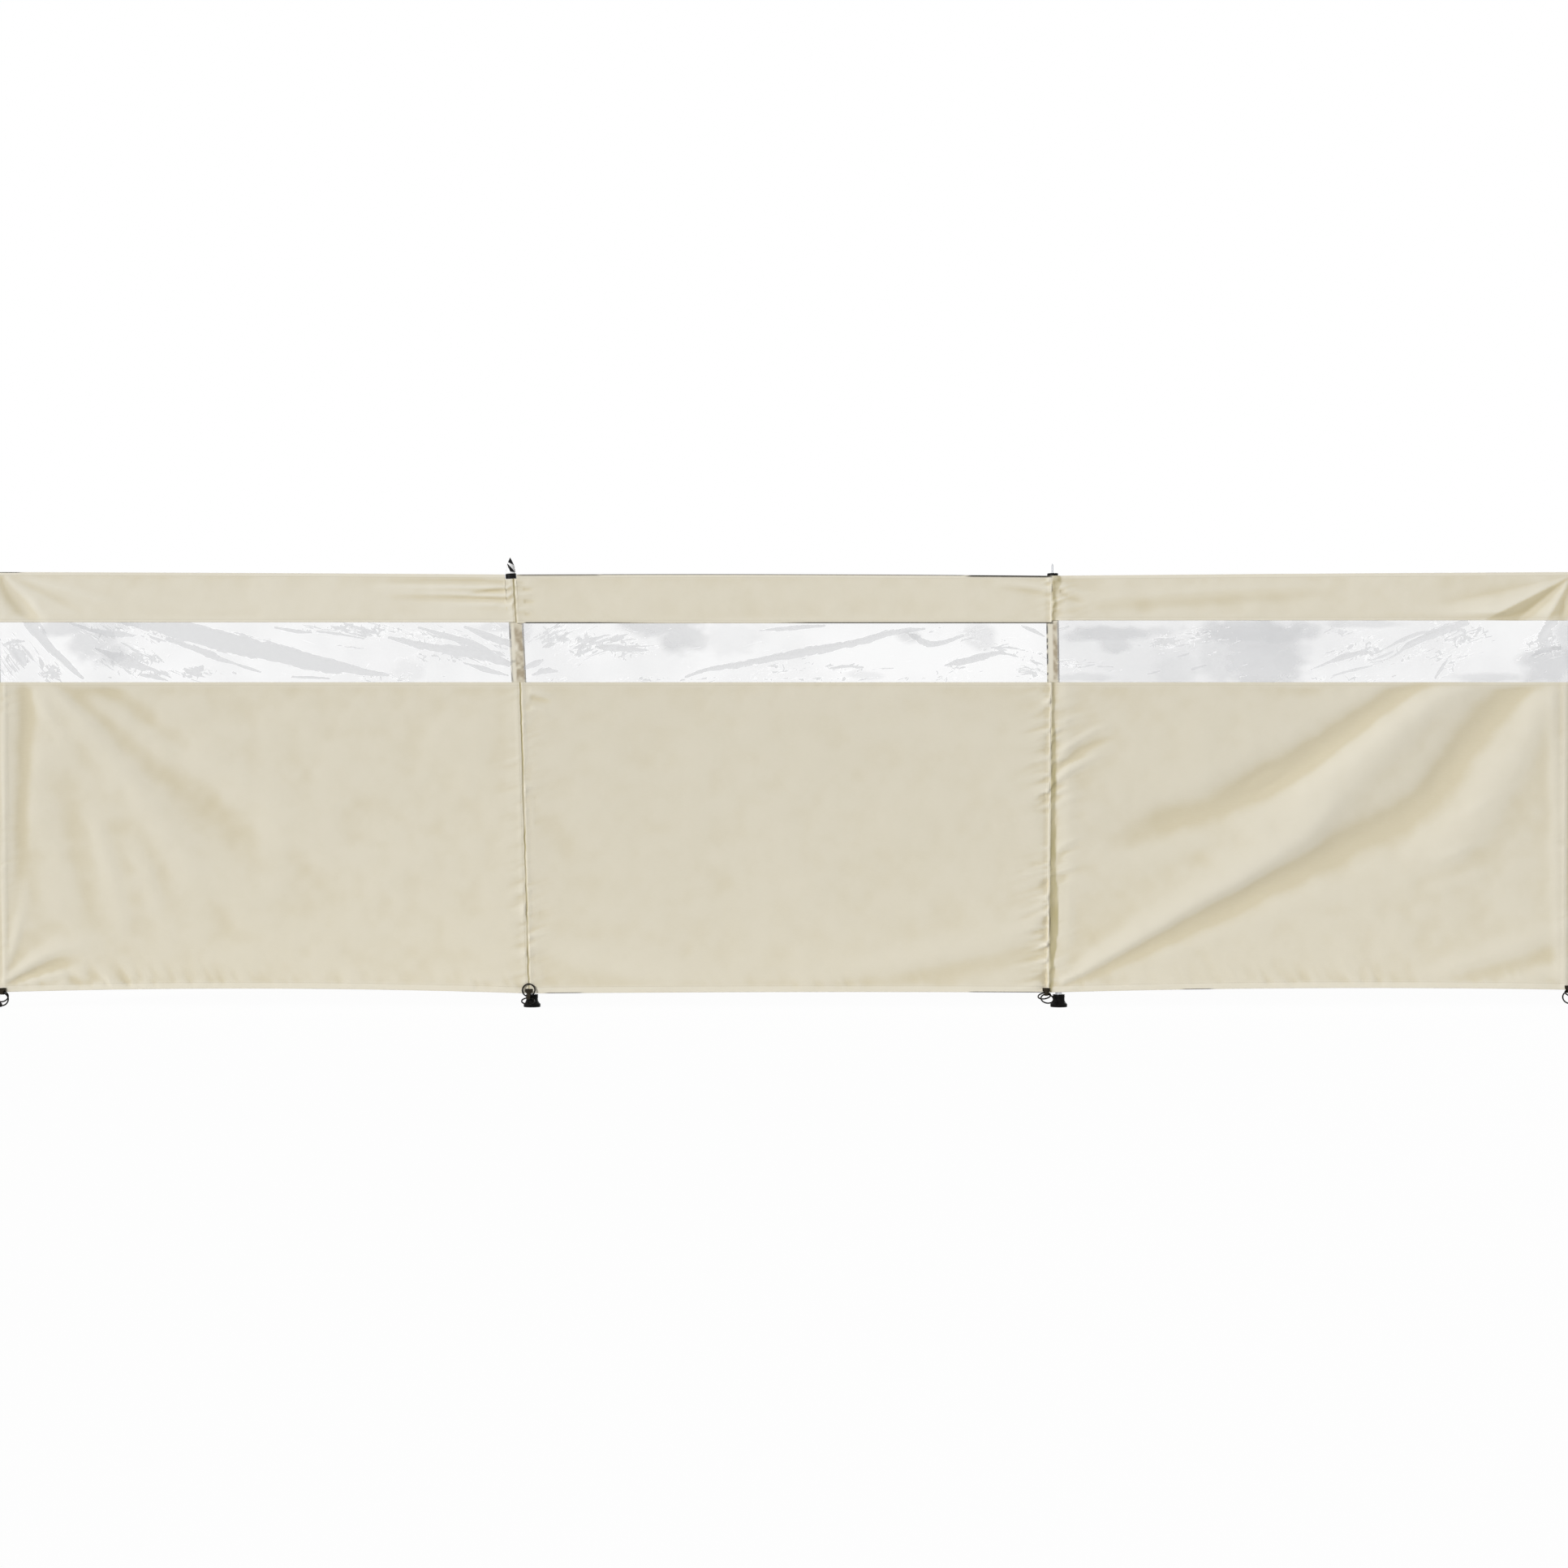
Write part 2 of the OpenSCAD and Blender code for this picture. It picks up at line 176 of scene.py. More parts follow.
def noise_z(z, cell, seed):
    """Seeded noise that changes with the height only."""
    return noise(z * 0, z, EVERYWHERE, cell, seed)


def path_points(points, count, steps=8):
    """A smooth line through points of count values each, of which the third is the fourth too
    where only one is written. The values are [x, z, width over, width under, height]."""
    p = np.array([q if len(q) == count else q[:3] + q[2:] for q in points], float)
    p = np.vstack([2 * p[0] - p[1], p, 2 * p[-1] - p[-2]])
    out = []
    for k in range(1, len(p) - 2):
        a, b, c, d = p[k - 1:k + 3]
        for s in np.arange(steps) / steps:
            out.append(0.5 * (2 * b + (c - a) * s + (2 * a - 5 * b + 4 * c - d) * s ** 2
                              + (3 * b - a - 3 * c + d) * s ** 3))
    out.append(p[-2])
    return np.array(out)


def along(x, z, points, count):
    """Signed distance from the line (over it is positive, for a line that runs to the right)
    and the values that the line carries there."""
    line = path_points(points, count)
    best = np.full(x.shape, 1e9)
    side = np.zeros(x.shape)
    carried = np.zeros(x.shape + (line.shape[1] - 2,))
    for a, b in zip(line[:-1], line[1:]):
        dx, dz = b[0] - a[0], b[1] - a[1]
        length2 = dx * dx + dz * dz
        if length2 == 0:
            continue
        raw = ((x - a[0]) * dx + (z - a[1]) * dz) / length2
        s = np.clip(raw, 0, 1)
        qx, qz = x - a[0] - s * dx, z - a[1] - s * dz
        d = np.hypot(qx, qz)
        near = d < best
        best = np.where(near, d, best)
        side = np.where(near, dx * qz - dz * qx, side)
        value = a[2:] + (b[2:] - a[2:]) * s[..., None]
        carried = np.where(near[..., None], value, carried)
    return np.where(side >= 0, best, -best), carried


def fold(x, z, points):
    """A fold along a line of [x, z, width over it, width under it, height]."""
    d, value = along(x, z, points, 5)
    width = np.maximum(np.where(d >= 0, value[..., 0], value[..., 1]), 0.5)
    return value[..., 2] * np.exp(-(d / width) ** 2)


# Each line of a bay's folds runs to the right, as [x, z, width over, width under, height].
# Where both widths are the same, one is written.
LOWER_FOLDS = [
    # left bay: a dark zone beside its first crease, soft folds fanning from both left corners
    [[[112, 1050, 40, -4], [108, 900, 34, -5], [98, 700, 30, -4], [90, 450, 26, -2.5], [86, 200, 22, 0]],
     [[300, 1045, 34, -3], [400, 996, 38, 36, -4], [490, 930, 40, 36, -4], [575, 862, 40, 38, -2.6],
      [650, 800, 40, 38, 0]],
     [[118, 1040, 18, 16, 1.6], [150, 980, 22, 20, 2.6], [200, 900, 26, 24, 2.2], [270, 800, 26, 0]],
     [[180, 1040, 16, 1.4], [240, 975, 20, 18, 2.2], [320, 905, 24, 22, 1.8], [400, 850, 24, 0]],
     [[214, 1045, 26, 34, -1.6], [288, 985, 34, 42, -2.3], [386, 886, 44, 50, -3], [480, 800, 58, 60, -4],
      [615, 712, 64, -4.2], [727, 605, 66, -4.2], [812, 486, 66, -2.8], [890, 370, 66, 0]],
     [[150, 1030, 34, 30, 1.5], [266, 925, 40, 36, 3], [370, 816, 46, 42, 4], [463, 700, 52, 48, 4.4],
      [556, 556, 56, 50, 3.8], [640, 412, 56, 50, 2.6], [720, 270, 54, 50, 0]],
     [[560, 900, 80, 70, 0], [760, 740, 90, 80, 3], [980, 560, 90, 80, 3], [1200, 400, 80, 70, 0]],
     [[190, 860, 60, 0], [240, 650, 64, -2.2], [300, 450, 60, -1.6], [350, 250, 50, 0]],
     [[96, 640, 40, 0], [122, 520, 44, -2.2], [134, 400, 44, -2.2], [146, 270, 40, 0]],
     [[300, 660, 36, 34, 0], [345, 540, 32, 28, 2.4], [390, 380, 34, 30, 2], [430, 180, 30, 0]],
     [[430, 580, 34, 30, 0], [480, 460, 32, 28, 2.2], [540, 300, 32, 30, 1.5], [580, 140, 30, 0]],
     [[250, 520, 30, 0], [300, 380, 30, -1.6], [340, 220, 30, 26, 0]],
     [[640, 420, 34, 0], [720, 300, 34, -1.4], [800, 180, 30, 0]],
     [[40, 80, 12, 10, 2], [110, 130, 22, 16, 5], [210, 185, 34, 24, 5], [360, 215, 40, 30, 0]],
     [[40, 72, 8, -1], [100, 95, 12, -3.5], [190, 130, 22, 20, -3.5], [300, 150, 30, 26, 0]],
     [[50, 66, 8, 0], [130, 84, 12, 10, 3], [220, 104, 18, 14, 3], [310, 120, 20, 18, 0]],
     [[40, 110, 8, 0], [66, 190, 14, 12, 3], [92, 300, 20, 18, 2.5], [105, 430, 24, 0]]],
    # middle bay: nearly flat, with a low soft fold up to its right seam
    [[[2430, 95, 50, 30, 0], [2790, 120, 60, 40, 3], [3110, 185, 70, 50, 4.5], [3370, 262, 70, 50, 4]],
     [[2590, 70, 30, 0], [2840, 88, 40, -2.2], [3080, 130, 54, 50, -3.2], [3365, 185, 56, 50, -2.2]],
     [[1750, 205, 50, 40, 2.5], [1890, 165, 60, 40, 2.5], [2130, 110, 60, 36, 2], [2530, 84, 50, 30, 0]],
     [[1730, 640, 60, -1.5], [1830, 540, 60, -2], [1980, 400, 60, 0]],
     [[2730, 900, 60, 50, 0], [3030, 880, 60, 50, 1.6], [3350, 850, 50, 40, 1.4]],
     [[1730, 1012, 10, 2.5], [1760, 1004, 9, 2], [1800, 992, 8, 0]],
     [[1732, 992, 8, -2.5], [1764, 984, 8, -2], [1796, 976, 8, 0]],
     [[1734, 958, 8, 2], [1764, 950, 8, 1.5], [1790, 944, 8, 0]]],
    # right bay: two valleys and a broad ridge from its low left corner to its high right one
    [[[3560, 500, 50, 0], [3700, 570, 66, 56, -7], [3790, 602, 70, 56, -11], [3914, 640, 70, 60, -12],
      [4085, 722, 76, 60, -17], [4235, 808, 70, 54, -17], [4342, 884, 60, 50, -15], [4449, 960, 50, 46, -12],
      [4577, 1040, 44, 42, -8]],
     [[3430, 80, 12, 6, 3], [3520, 130, 34, 14, 6], [3700, 240, 62, 26, 9], [3871, 350, 86, 36, 12],
      [4021, 430, 100, 44, 13], [4192, 560, 110, 60, 14], [4299, 690, 110, 70, 14], [4449, 843, 100, 74, 13],
      [4577, 965, 90, 70, 11], [4705, 1050, 70, 60, 9]],
     [[3507, 90, 20, 10, -1], [3700, 190, 40, 26, -4], [3935, 300, 50, 40, -7], [4085, 392, 56, -9],
      [4235, 464, 60, 70, -11], [4385, 540, 60, 80, -12], [4556, 640, 64, 80, -13], [4663, 760, 60, 74, -12],
      [4770, 900, 60, 66, -10], [4920, 1045, 56, -6]],
     [[4480, 420, 60, 0], [4640, 520, 66, 70, 5], [4780, 640, 70, 7], [4880, 800, 66, 60, 6],
      [4960, 980, 50, 46, 4]],
     [[4530, 80, 30, 26, 0], [4690, 135, 40, 32, 2.5], [4860, 195, 46, 36, 3], [5040, 262, 46, 36, 2.5]],
     [[4590, 66, 20, 0], [4770, 110, 28, 26, -1.4], [4930, 150, 34, 30, -1.8], [5060, 185, 34, 30, -1.2]],
     [[4790, 64, 16, 0], [4910, 92, 22, 20, 1.4], [5060, 128, 26, 24, 1.4]],
     [[4600, 470, 20, 18, 0], [4690, 500, 22, 18, 2], [4790, 545, 20, 18, 0]],
     [[4560, 365, 22, 20, 0], [4680, 400, 24, 20, 2], [4820, 446, 20, 18, 0]],
     [[4640, 590, 20, 18, 0], [4730, 630, 20, 18, 1.8], [4800, 680, 20, 18, 0]],
     [[4996, 1050, 22, 2.4], [5008, 700, 22, 2.6], [5014, 350, 22, 2.4], [5020, 100, 20, 2]],
     [[3404, 795, 8, 1], [3450, 835, 12, 10, 3.4], [3520, 880, 12, 10, 3], [3590, 908, 10, 8, 0]],
     [[3404, 760, 8, -1], [3460, 802, 12, -3.4], [3540, 846, 12, -2.5], [3610, 868, 10, 8, 0]],
     [[3404, 722, 8, 1], [3450, 758, 12, 10, 2.6], [3520, 795, 12, 10, 2], [3570, 812, 10, 8, 0]],
     [[3406, 640, 8, 1], [3450, 668, 12, 10, 2], [3520, 690, 10, 8, 0]],
     [[3404, 500, 8, 1], [3440, 525, 10, 8, 2.2], [3500, 548, 8, 0]],
     [[3404, 474, 8, -1], [3440, 498, 8, -2], [3490, 514, 8, 0]]],
]
UPPER_FOLDS = [
    [[[22, 1388, 10, -2], [58, 1322, 24, 22, -8], [94, 1283, 28, 25, -11], [136, 1232, 30, 27, -9]],
     [[40, 1386, 8, 1], [90, 1338, 16, 2.2], [134, 1290, 20, 18, 3.2], [176, 1232, 22, 20, 2.4]],
     [[50, 1380, 8, 0], [140, 1340, 14, 12, -2.4], [240, 1292, 20, 16, -2.6], [320, 1240, 22, 20, 0]],
     [[60, 1382, 8, 0], [190, 1350, 12, 2], [330, 1306, 16, 14, 2], [420, 1270, 18, 16, 0]],
     [[1180, 1362, 12, 0], [1380, 1362, 12, 10, -2.5], [1560, 1361, 9, 8, -4], [1652, 1358, 6, -3]],
     [[1200, 1346, 12, 0], [1400, 1344, 12, 10, 3], [1560, 1344, 9, 8, 4.5], [1652, 1342, 7, 6, 4]],
     [[1520, 1322, 5, 0], [1562, 1328, 5, 6, -4], [1620, 1333, 5, 6, -6.5], [1666, 1334, 5, -5]],
     [[1250, 1326, 12, 0], [1440, 1322, 10, 9, 3], [1580, 1318, 8, 7, 4.5], [1656, 1316, 6, 4]],
     [[1230, 1312, 12, 0], [1429, 1311, 10, -3], [1560, 1307, 8, -4.5], [1660, 1303, 6, -4]],
     [[1440, 1290, 10, 0], [1560, 1288, 10, 2], [1664, 1284, 8, 2]]],
    [[[3210, 1366, 10, 0], [3300, 1352, 12, 10, 2.5], [3392, 1338, 12, 10, 3]],
     [[3220, 1344, 10, 0], [3310, 1336, 10, -1.6], [3392, 1322, 10, -2]],
     [[1670, 1372, 5, -2], [1690, 1362, 5, -2], [1712, 1352, 5, 0]],
     [[1676, 1342, 6, 7, -4], [1700, 1340, 5, 6, -4], [1736, 1339, 4, 5, 0]],
     [[1676, 1322, 6, 2.5], [1704, 1322, 6, 2], [1740, 1322, 5, 0]],
     [[1680, 1302, 6, 7, -4], [1706, 1300, 5, 6, -4], [1744, 1299, 4, 5, 0]],
     [[1682, 1278, 6, 2.5], [1706, 1276, 6, 2], [1738, 1276, 5, 0]],
     [[1684, 1262, 5, -3], [1706, 1260, 5, -3], [1730, 1258, 4, 0]]],
    [[[3420, 1300, 24, 20, 0], [3590, 1312, 24, 20, 1.6], [3930, 1336, 24, 20, 2.2], [4280, 1352, 22, 20, 1]],
     [[3450, 1276, 24, 20, 0], [3670, 1284, 24, 20, -1.5], [3980, 1304, 24, 20, -2], [4330, 1322, 22, 20, 0]],
     [[3424, 1352, 8, 2], [3470, 1330, 10, 8, 2], [3540, 1318, 10, 8, 0]],
     [[3422, 1330, 8, -2], [3460, 1308, 9, 8, -2], [3520, 1296, 9, 8, 0]]],
]
# Folds that spread from the top right corner, as (degrees under the hem, height per distance)
CORNER = (5062.0, 1384.0)
CORNER_FAN = [(0, 0.0), (12, 0.0), (27, 0.060), (39.5, -0.056), (60, 0.050), (78, -0.044), (93, 0.02),
              (120, 0.0)]


def corner_fan(x, z):
    """The folds that run down from the right bay's top corner."""
    across, down = CORNER[0] - x, CORNER[1] - z
    angle = np.degrees(np.arctan2(down, across))
    reach = np.minimum(np.hypot(across, down), 330.0)
    at, slope = np.array(CORNER_FAN).T
    return np.interp(angle, at, slope, left=0.0) * reach * (1 - smooth(250, 520, np.hypot(across, down)))


# For the left and the right seam of each bay, how high its creases are and how far they reach
PUCKERS = [((0.6, 0.9), (30, 30)), ((1.1, 2.5), (34, 30)), ((1.7, 0.7), (44, 28))]
PUCKER_SLOPES = 0.35, -0.25
CALM = [1.0, 0.7, 1.0]  # the share of loose drift in each bay
HEM_TIGHT = [1.7, 1.0, 1.8]  # how high the creases on each bay's bottom hem are
CORNER_TIGHT = 2.6  # how much higher they are at the first bay's left


def seam_puckers(x, z, b):
    """Short creases that run away from the seams of bay b."""
    out = np.zeros(x.shape)
    sides = zip(*PUCKERS[b], beside(x, z, b), PUCKER_SLOPES)
    for side, (d, reach_mm, dist, slope) in enumerate(sides):
        zz = z - slope * dist
        grow = np.clip(dist / 7.0, 0, 1) * np.exp(-np.maximum(dist, 0) / reach_mm)
        ripple = noise(dist, zz, 90, 17, 11 + 10 * b + side)
        ripple += 0.6 * noise(dist, zz, 50, 9, 12 + 10 * b + side)
        ripple = np.sign(ripple) * np.abs(ripple) ** 1.4
        out += d * 4.4 * grow * ripple * (0.6 + 0.6 * noise_z(z, 110, 13 + 10 * b + side))
    return out


def hem_puckers(x, over, seed, height=1.0):
    """Creases that stand on a sewn hem, over it by this much."""
    env = np.exp(-np.maximum(over - HEM_H, 0) / 30) * smooth(0, HEM_H, over)
    lean = x + 0.5 * over
    r = noise(lean, over, 17, 60, seed) + 0.6 * noise(lean, over, 34, 90, seed + 1)
    return height * env * r * (0.6 + 0.4 * noise(x, over * 0, 260, EVERYWHERE, seed + 2))


def seam_profile(x, z, b):
    """The cloth swells beside its seams and turns back into them."""
    left, right = beside(x, z, b)
    under = 1 - smooth(WINDOW_Z0 - 12, WINDOW_Z0 + 12, z)
    out = 0.0
    if b == 0:
        out += under * (3.2 * bump(left, 10, 7) - 1.6 * bump(left, 0, 2.5))
        out += 0.7 * bump(right, 12, 8) - 0.9 * bump(right, 0, 2.2)
    if b == 1:
        out += 1.1 * bump(left, 8, 6) - 0.9 * bump(left, 0, 2.2)
        out += 3.2 * np.exp(-(right / 5.0) ** 2) - 0.6 * bump(right, 14, 6)
    if b == 2:
        bulge = bump(z, 480, 330)
        out += 3.2 * np.exp(-(left / 5.0) ** 2) - (0.9 + 0.6 * bulge) * bump(left, 13 + 6 * bulge, 7)
        out += 1.5 * bump(left, 46 + 16 * bulge, 24)
        out += under * (3.0 * bump(right, 10, 7) - 2.0 * bump(right, 0, 2.5))
    return out


def seam_shade(x, z, b):
    """Painted shade: how much darker and browner the cloth is painted in the groove of the first inner seam
    and in the shaded fold beside the second.
    """
    if b == 2:
        left = x - seam_x(b, z)
        width = np.interp(z, [0, 100, 240, 330, 430, 600, 820, 990, 1250, 1335, 1362, 1390],
                          [9, 13, 24, 29, 18, 16, 13, 9, 9, 12, 27, 16])
        width = width + 3.5 * noise_z(z, 24, 777)
        dark = smooth(0.5, 2.5, left) * (1 - smooth(width, width + 4.5, left))
        return dark * (1 - 0.35 * smooth(560, 1300, z)) * (0.8 + 0.25 * noise(x, z, 26, 50, 778))
    wavy = 1.6 * noise_z(z, 30, 779) + 0.8 * noise_z(z, 13, 780)
    gap = np.abs(x - seam_x(1, z) - wavy)
    return (1 - smooth(1.3, 3.4, gap)) * np.clip(0.75 + 0.5 * noise_z(z, 60, 781), 0.4, 1)


def cloth_relief(x, z, b):
    """How far the cloth of bay b stands before its flat place, at each point."""
    t = (x - seam_x(b, z)) / (seam_x(b + 1, z) - seam_x(b, z))
    low, high = hem_z(b, t), top_z(b, t)
    left, right = beside(x, z, b)
    inner = smooth(0, 60, left) * smooth(0, 60, right)
    lower = z < mix(WINDOW_Z0, WINDOW_Z1[b], 0.5)
    folds = np.zeros(x.shape)
    for lines, here in ((LOWER_FOLDS[b], lower), (UPPER_FOLDS[b], ~lower)):
        for line in lines:
            folds += np.where(here, fold(x, z, line), 0)
    if b == 2:
        folds += np.where(lower, 0, corner_fan(x, z))
    drift = CALM[b] * (1.6 * noise(x, z, 260, 210, 101 + b) + 0.9 * noise(x, z, 90, 80, 201 + b)
                       + 0.42 * noise(x, z, 42, 44, 251 + b) + 0.20 * noise(x, z, 24, 26, 301 + b))
    window = np.where(lower, WINDOW_Z0 - z, z - WINDOW_Z1[b])
    ease = smooth(2, 30, window)
    edge = smooth(0, 24, np.where(lower, z - low, high - z))
    out = folds * (0.35 + 0.65 * ease) * (0.5 + 0.5 * edge) + drift * inner * ease * edge
    out += seam_puckers(x, z, b) * (0.4 + 0.6 * ease)
    tight = HEM_TIGHT[b] + (CORNER_TIGHT * (1 - smooth(400, 1000, x)) if b == 0 else 0)
    out += np.where(lower, hem_puckers(x, z - low, 401 + 5 * b, tight), 0)
    out += np.where(lower, 0, 0.5 * hem_puckers(x, high - z, 431 + 5 * b, 0.6))
    out += np.where(lower, 0.45 * hem_puckers(x, window + HEM_H - 8, 461 + 5 * b, 0.8),
                    0.35 * hem_puckers(x, window + HEM_H - 8, 491 + 5 * b, 0.8))
    # hems stand a little proud, with a line of stitches pulled in
    out += 0.9 * (1 - smooth(HEM_H - 2, HEM_H + 5, z - low)) - 0.7 * bump(z - low, HEM_H - 2, 1.8)
    out += 0.8 * (1 - smooth(11, 16, high - z)) - 0.7 * bump(high - z, 11, 1.6)
    out += 0.5 * (1 - smooth(FILM_LAP - 2, FILM_LAP + 3, window)) - 0.5 * bump(window, FILM_LAP - 2, 1.6)
    out += seam_profile(x, z, b)
    # over the sleeves nothing goes behind the cloth's flat place
    on_sleeve = (x < sleeve_right(b, z) + 6) | (x > sleeve_left(b + 1, z) - 6)
    out = np.maximum(out, np.where(on_sleeve, -1.0, -14.0))
    # the cloth passes in front of the third post's collar
    over_collar = (1 - smooth(10, 27, np.abs(x - post_x(2, z)))) * smooth(1355, 1371, z)
    return mix(out, np.maximum(out, STAND_BEFORE_CAP), over_collar)


# ---------------- meshes
def grid_lines(length, cell, marks):
    """Places from 0 to length, about a cell apart, with the marks among them."""
    marks = sorted(m for m in marks if 0 < m < length)
    places = [0.0]
    for end in marks + [length]:
        n = max(1, round((end - places[-1]) / cell))
        places += list(np.linspace(places[-1], end, n + 1)[1:])
    return np.array(places)


def new_object(name, verts, faces, slot):
    """A smooth mesh piece of body root, with the material of its slot."""
    mesh = bpy.data.meshes.new(name)
    mesh.from_pydata([tuple(v) for v in verts], [], [tuple(f) for f in faces])
    mesh.update()
    mesh.polygons.foreach_set("use_smooth", [True] * len(mesh.polygons))
    obj = bpy.data.objects.new(name, mesh)
    SCENE.collection.objects.link(obj)
    mesh.materials.append(MATERIALS[slot])
    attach(obj, "root")
    return obj


def paint(obj, shape, fields):
    """Gives each vertex of a closed sheet the named values, for the material to read. They are
    the same in front and behind."""
    for name, values in fields.items():
        layer = obj.data.attributes.new(name, "FLOAT", "POINT")
        values = np.broadcast_to(values, shape).astype(np.float32)
        layer.data.foreach_set("value", np.tile(values.ravel(), 2))


def closed_sheet(name, front, back, slot, closed_u=False):
    """A thin closed solid between two surfaces, given as points by [column, row]."""
    nu, nv = front.shape[:2]
    verts = np.vstack([front.reshape(-1, 3), back.reshape(-1, 3)]) * MM
    index = np.arange(nu * nv).reshape(nu, nv)
    if closed_u:
        index = np.vstack([index, index[:1]])
    other = index + nu * nv
    a, b, c, d = index[:-1], index[1:], other[:-1], other[1:]

    def quads(*corners):
        return np.stack([c.ravel() for c in corners], 1)

    faces = [quads(a[:, :-1], b[:, :-1], b[:, 1:], a[:, 1:]),
             quads(c[:, :-1], c[:, 1:], d[:, 1:], d[:, :-1]),
             quads(a[:, 0], c[:, 0], d[:, 0], b[:, 0]),
             quads(a[:, -1], b[:, -1], d[:, -1], c[:, -1])]
    if not closed_u:
        faces += [quads(index[0, :-1], index[0, 1:], other[0, 1:], other[0, :-1]),
                  quads(index[-1, :-1], other[-1, :-1], other[-1, 1:], index[-1, 1:])]
    return new_object(name, verts, np.vstack(faces), slot)


# ---------------- materials
class Tree:
    """A node tree, with short calls for the nodes used here."""

    def __init__(self, tree):
        self.tree = tree

    def add(self, kind, inputs=(), **settings):
        node = self.tree.nodes.new(kind)
        for key, value in settings.items():
            setattr(node, key, value)
        for key, value in dict(inputs).items():
            self.put(value, node.inputs[key])
        return node

    def put(self, value, socket):
        if isinstance(value, bpy.types.NodeSocket):
            self.tree.links.new(value, socket)
        else:
            socket.default_value = value

    def math(self, op, *values, clamp=False):
        inputs = dict(enumerate(values))
        return self.add("ShaderNodeMath", inputs, operation=op, use_clamp=clamp).outputs[0]

    times = partialmethod(math, "MULTIPLY")
    plus = partialmethod(math, "ADD")
    minus = partialmethod(math, "SUBTRACT")
    larger = partialmethod(math, "MAXIMUM")

    def seen(self):
        """1 for rays that come from the camera, straight, by a gloss or through clear film."""
        rays = self.add("ShaderNodeLightPath").outputs
        return reduce(self.larger, [rays[f"Is {kind} Ray"] for kind in ("Camera", "Glossy", "Transmission")])


class Material(Tree):
    """A new material, with calls that read fields and places and set the finish."""

    INPUTS = {"color": "Base Color", "rough": "Roughness", "metal": "Metallic", "normal": "Normal",
              "alpha": "Alpha", "sheen": "Sheen Weight", "sheen_rough": "Sheen Roughness",
              "coat": "Coat Weight", "coat_rough": "Coat Roughness", "specular": "Specular IOR Level"}

    def __init__(self, name):
        self.material = bpy.data.materials.new(name)
        self.material.use_nodes = True
        super().__init__(self.material.node_tree)
        self.bsdf = self.tree.nodes["Principled BSDF"]
        self.space = self.add("ShaderNodeTexCoord").outputs["Object"]

    def set(self, **values):
        for key, value in values.items():
            self.put(value, self.bsdf.inputs[self.INPUTS[key]])

    def xyz(self):
        return self.add("ShaderNodeSeparateXYZ", {"Vector": self.space}).outputs

    def field(self, name):
        return self.add("ShaderNodeAttribute", attribute_name=name).outputs["Fac"]

    def step(self, value, lo, hi, to_lo=0.0, to_hi=1.0):
        inputs = {"Value": value, "From Min": lo, "From Max": hi, "To Min": to_lo, "To Max": to_hi}
        return self.add("ShaderNodeMapRange", inputs, interpolation_type="SMOOTHSTEP").outputs[0]

    def noise(self, scale, detail=2.0, rough=0.5, warp=0.0, vector=None, stretch=None):
        v = vector or self.space
        if stretch:
            v = self.add("ShaderNodeMapping", {"Vector": v, "Scale": stretch}).outputs[0]
        return self.add("ShaderNodeTexNoise", {"Vector": v, "Scale": scale, "Detail": detail,
                                               "Roughness": rough, "Distortion": warp}).outputs["Fac"]

    def mix(self, factor, a, b):
        return self.add("ShaderNodeMix", {"Factor": factor, 6: a, 7: b}, data_type="RGBA").outputs[2]

    def bump(self, height, distance, strength=1.0):
        inputs = {"Height": height, "Distance": distance, "Strength": strength}
        return self.add("ShaderNodeBump", inputs).outputs[0]


WEAVE_PITCH, STITCH_PITCH = 0.0011, 0.0036  # in metres
# The lines of stitches, as (the edge they follow, how far from it in millimetres, their direction)
STITCHES = [("hem", 20.0, "X"), ("seam", 9.0, "Z"), ("top", 11.0, "X"), ("sill", 9.5, "X")]


def wave(m, along_it, pitch):
    return m.math("SINE", m.times(along_it, 2 * math.pi / pitch))


def weave(m):
    """Height of a plain weave with slubs, from the place in space."""
    xyz = m.xyz()
    warp, weft = wave(m, xyz["X"], WEAVE_PITCH), wave(m, xyz["Z"], WEAVE_PITCH)
    slubs = [m.times(m.noise(1.0, 2, stretch=stretch), 1.4) for stretch in ((25, 25, 900), (900, 25, 25))]
    return m.plus(m.plus(m.times(m.times(warp, weft), 0.5), slubs[0]), slubs[1])


def stitches(m, distance, at, run):
    """1 on a line of stitches, this far from an edge. Run is the place along it."""
    on_line = m.step(m.math("ABSOLUTE", m.minus(distance, at)), 0.45, 0.75, 1, 0)
    phase = m.math("FRACT", m.math("DIVIDE", run, STITCH_PITCH))
    dash = m.step(m.math("ABSOLUTE", m.minus(phase, 0.5)), 0.3, 0.38, 1, 0)
    return m.times(on_line, dash)


def times_color(color, share):
    return tuple(c * f for c, f in zip(color, np.broadcast_to(share, 3))) + (1,)


CLOTH_COLOR = (0.716, 0.668, 0.545, 1)
# painted shade for the cloth's fold valleys
FOLD_SHADE_COLOR = (0.600, 0.530, 0.365, 1)
SLEEVE_SHADE = (0.27, 0.20, 0.115, 1)
PALE_COLOR = (0.790, 0.752, 0.650, 1)
# painted shade at the seams
SEAM_SHADE_COLOR = (0.43, 0.375, 0.205, 1)
# painted warm shade for faces turned away from the light
WARM_SHADE_COLOR = (0.70, 0.60, 0.36, 1)
THREAD_COLOR = (0.50, 0.44, 0.32, 1)
DARK_LINE_COLOR = (0.035, 0.03, 0.022, 1)  # of the painted dark shadow lines along edges, and of dark thread
FILM_COLOR = (0.60, 0.605, 0.62, 1)


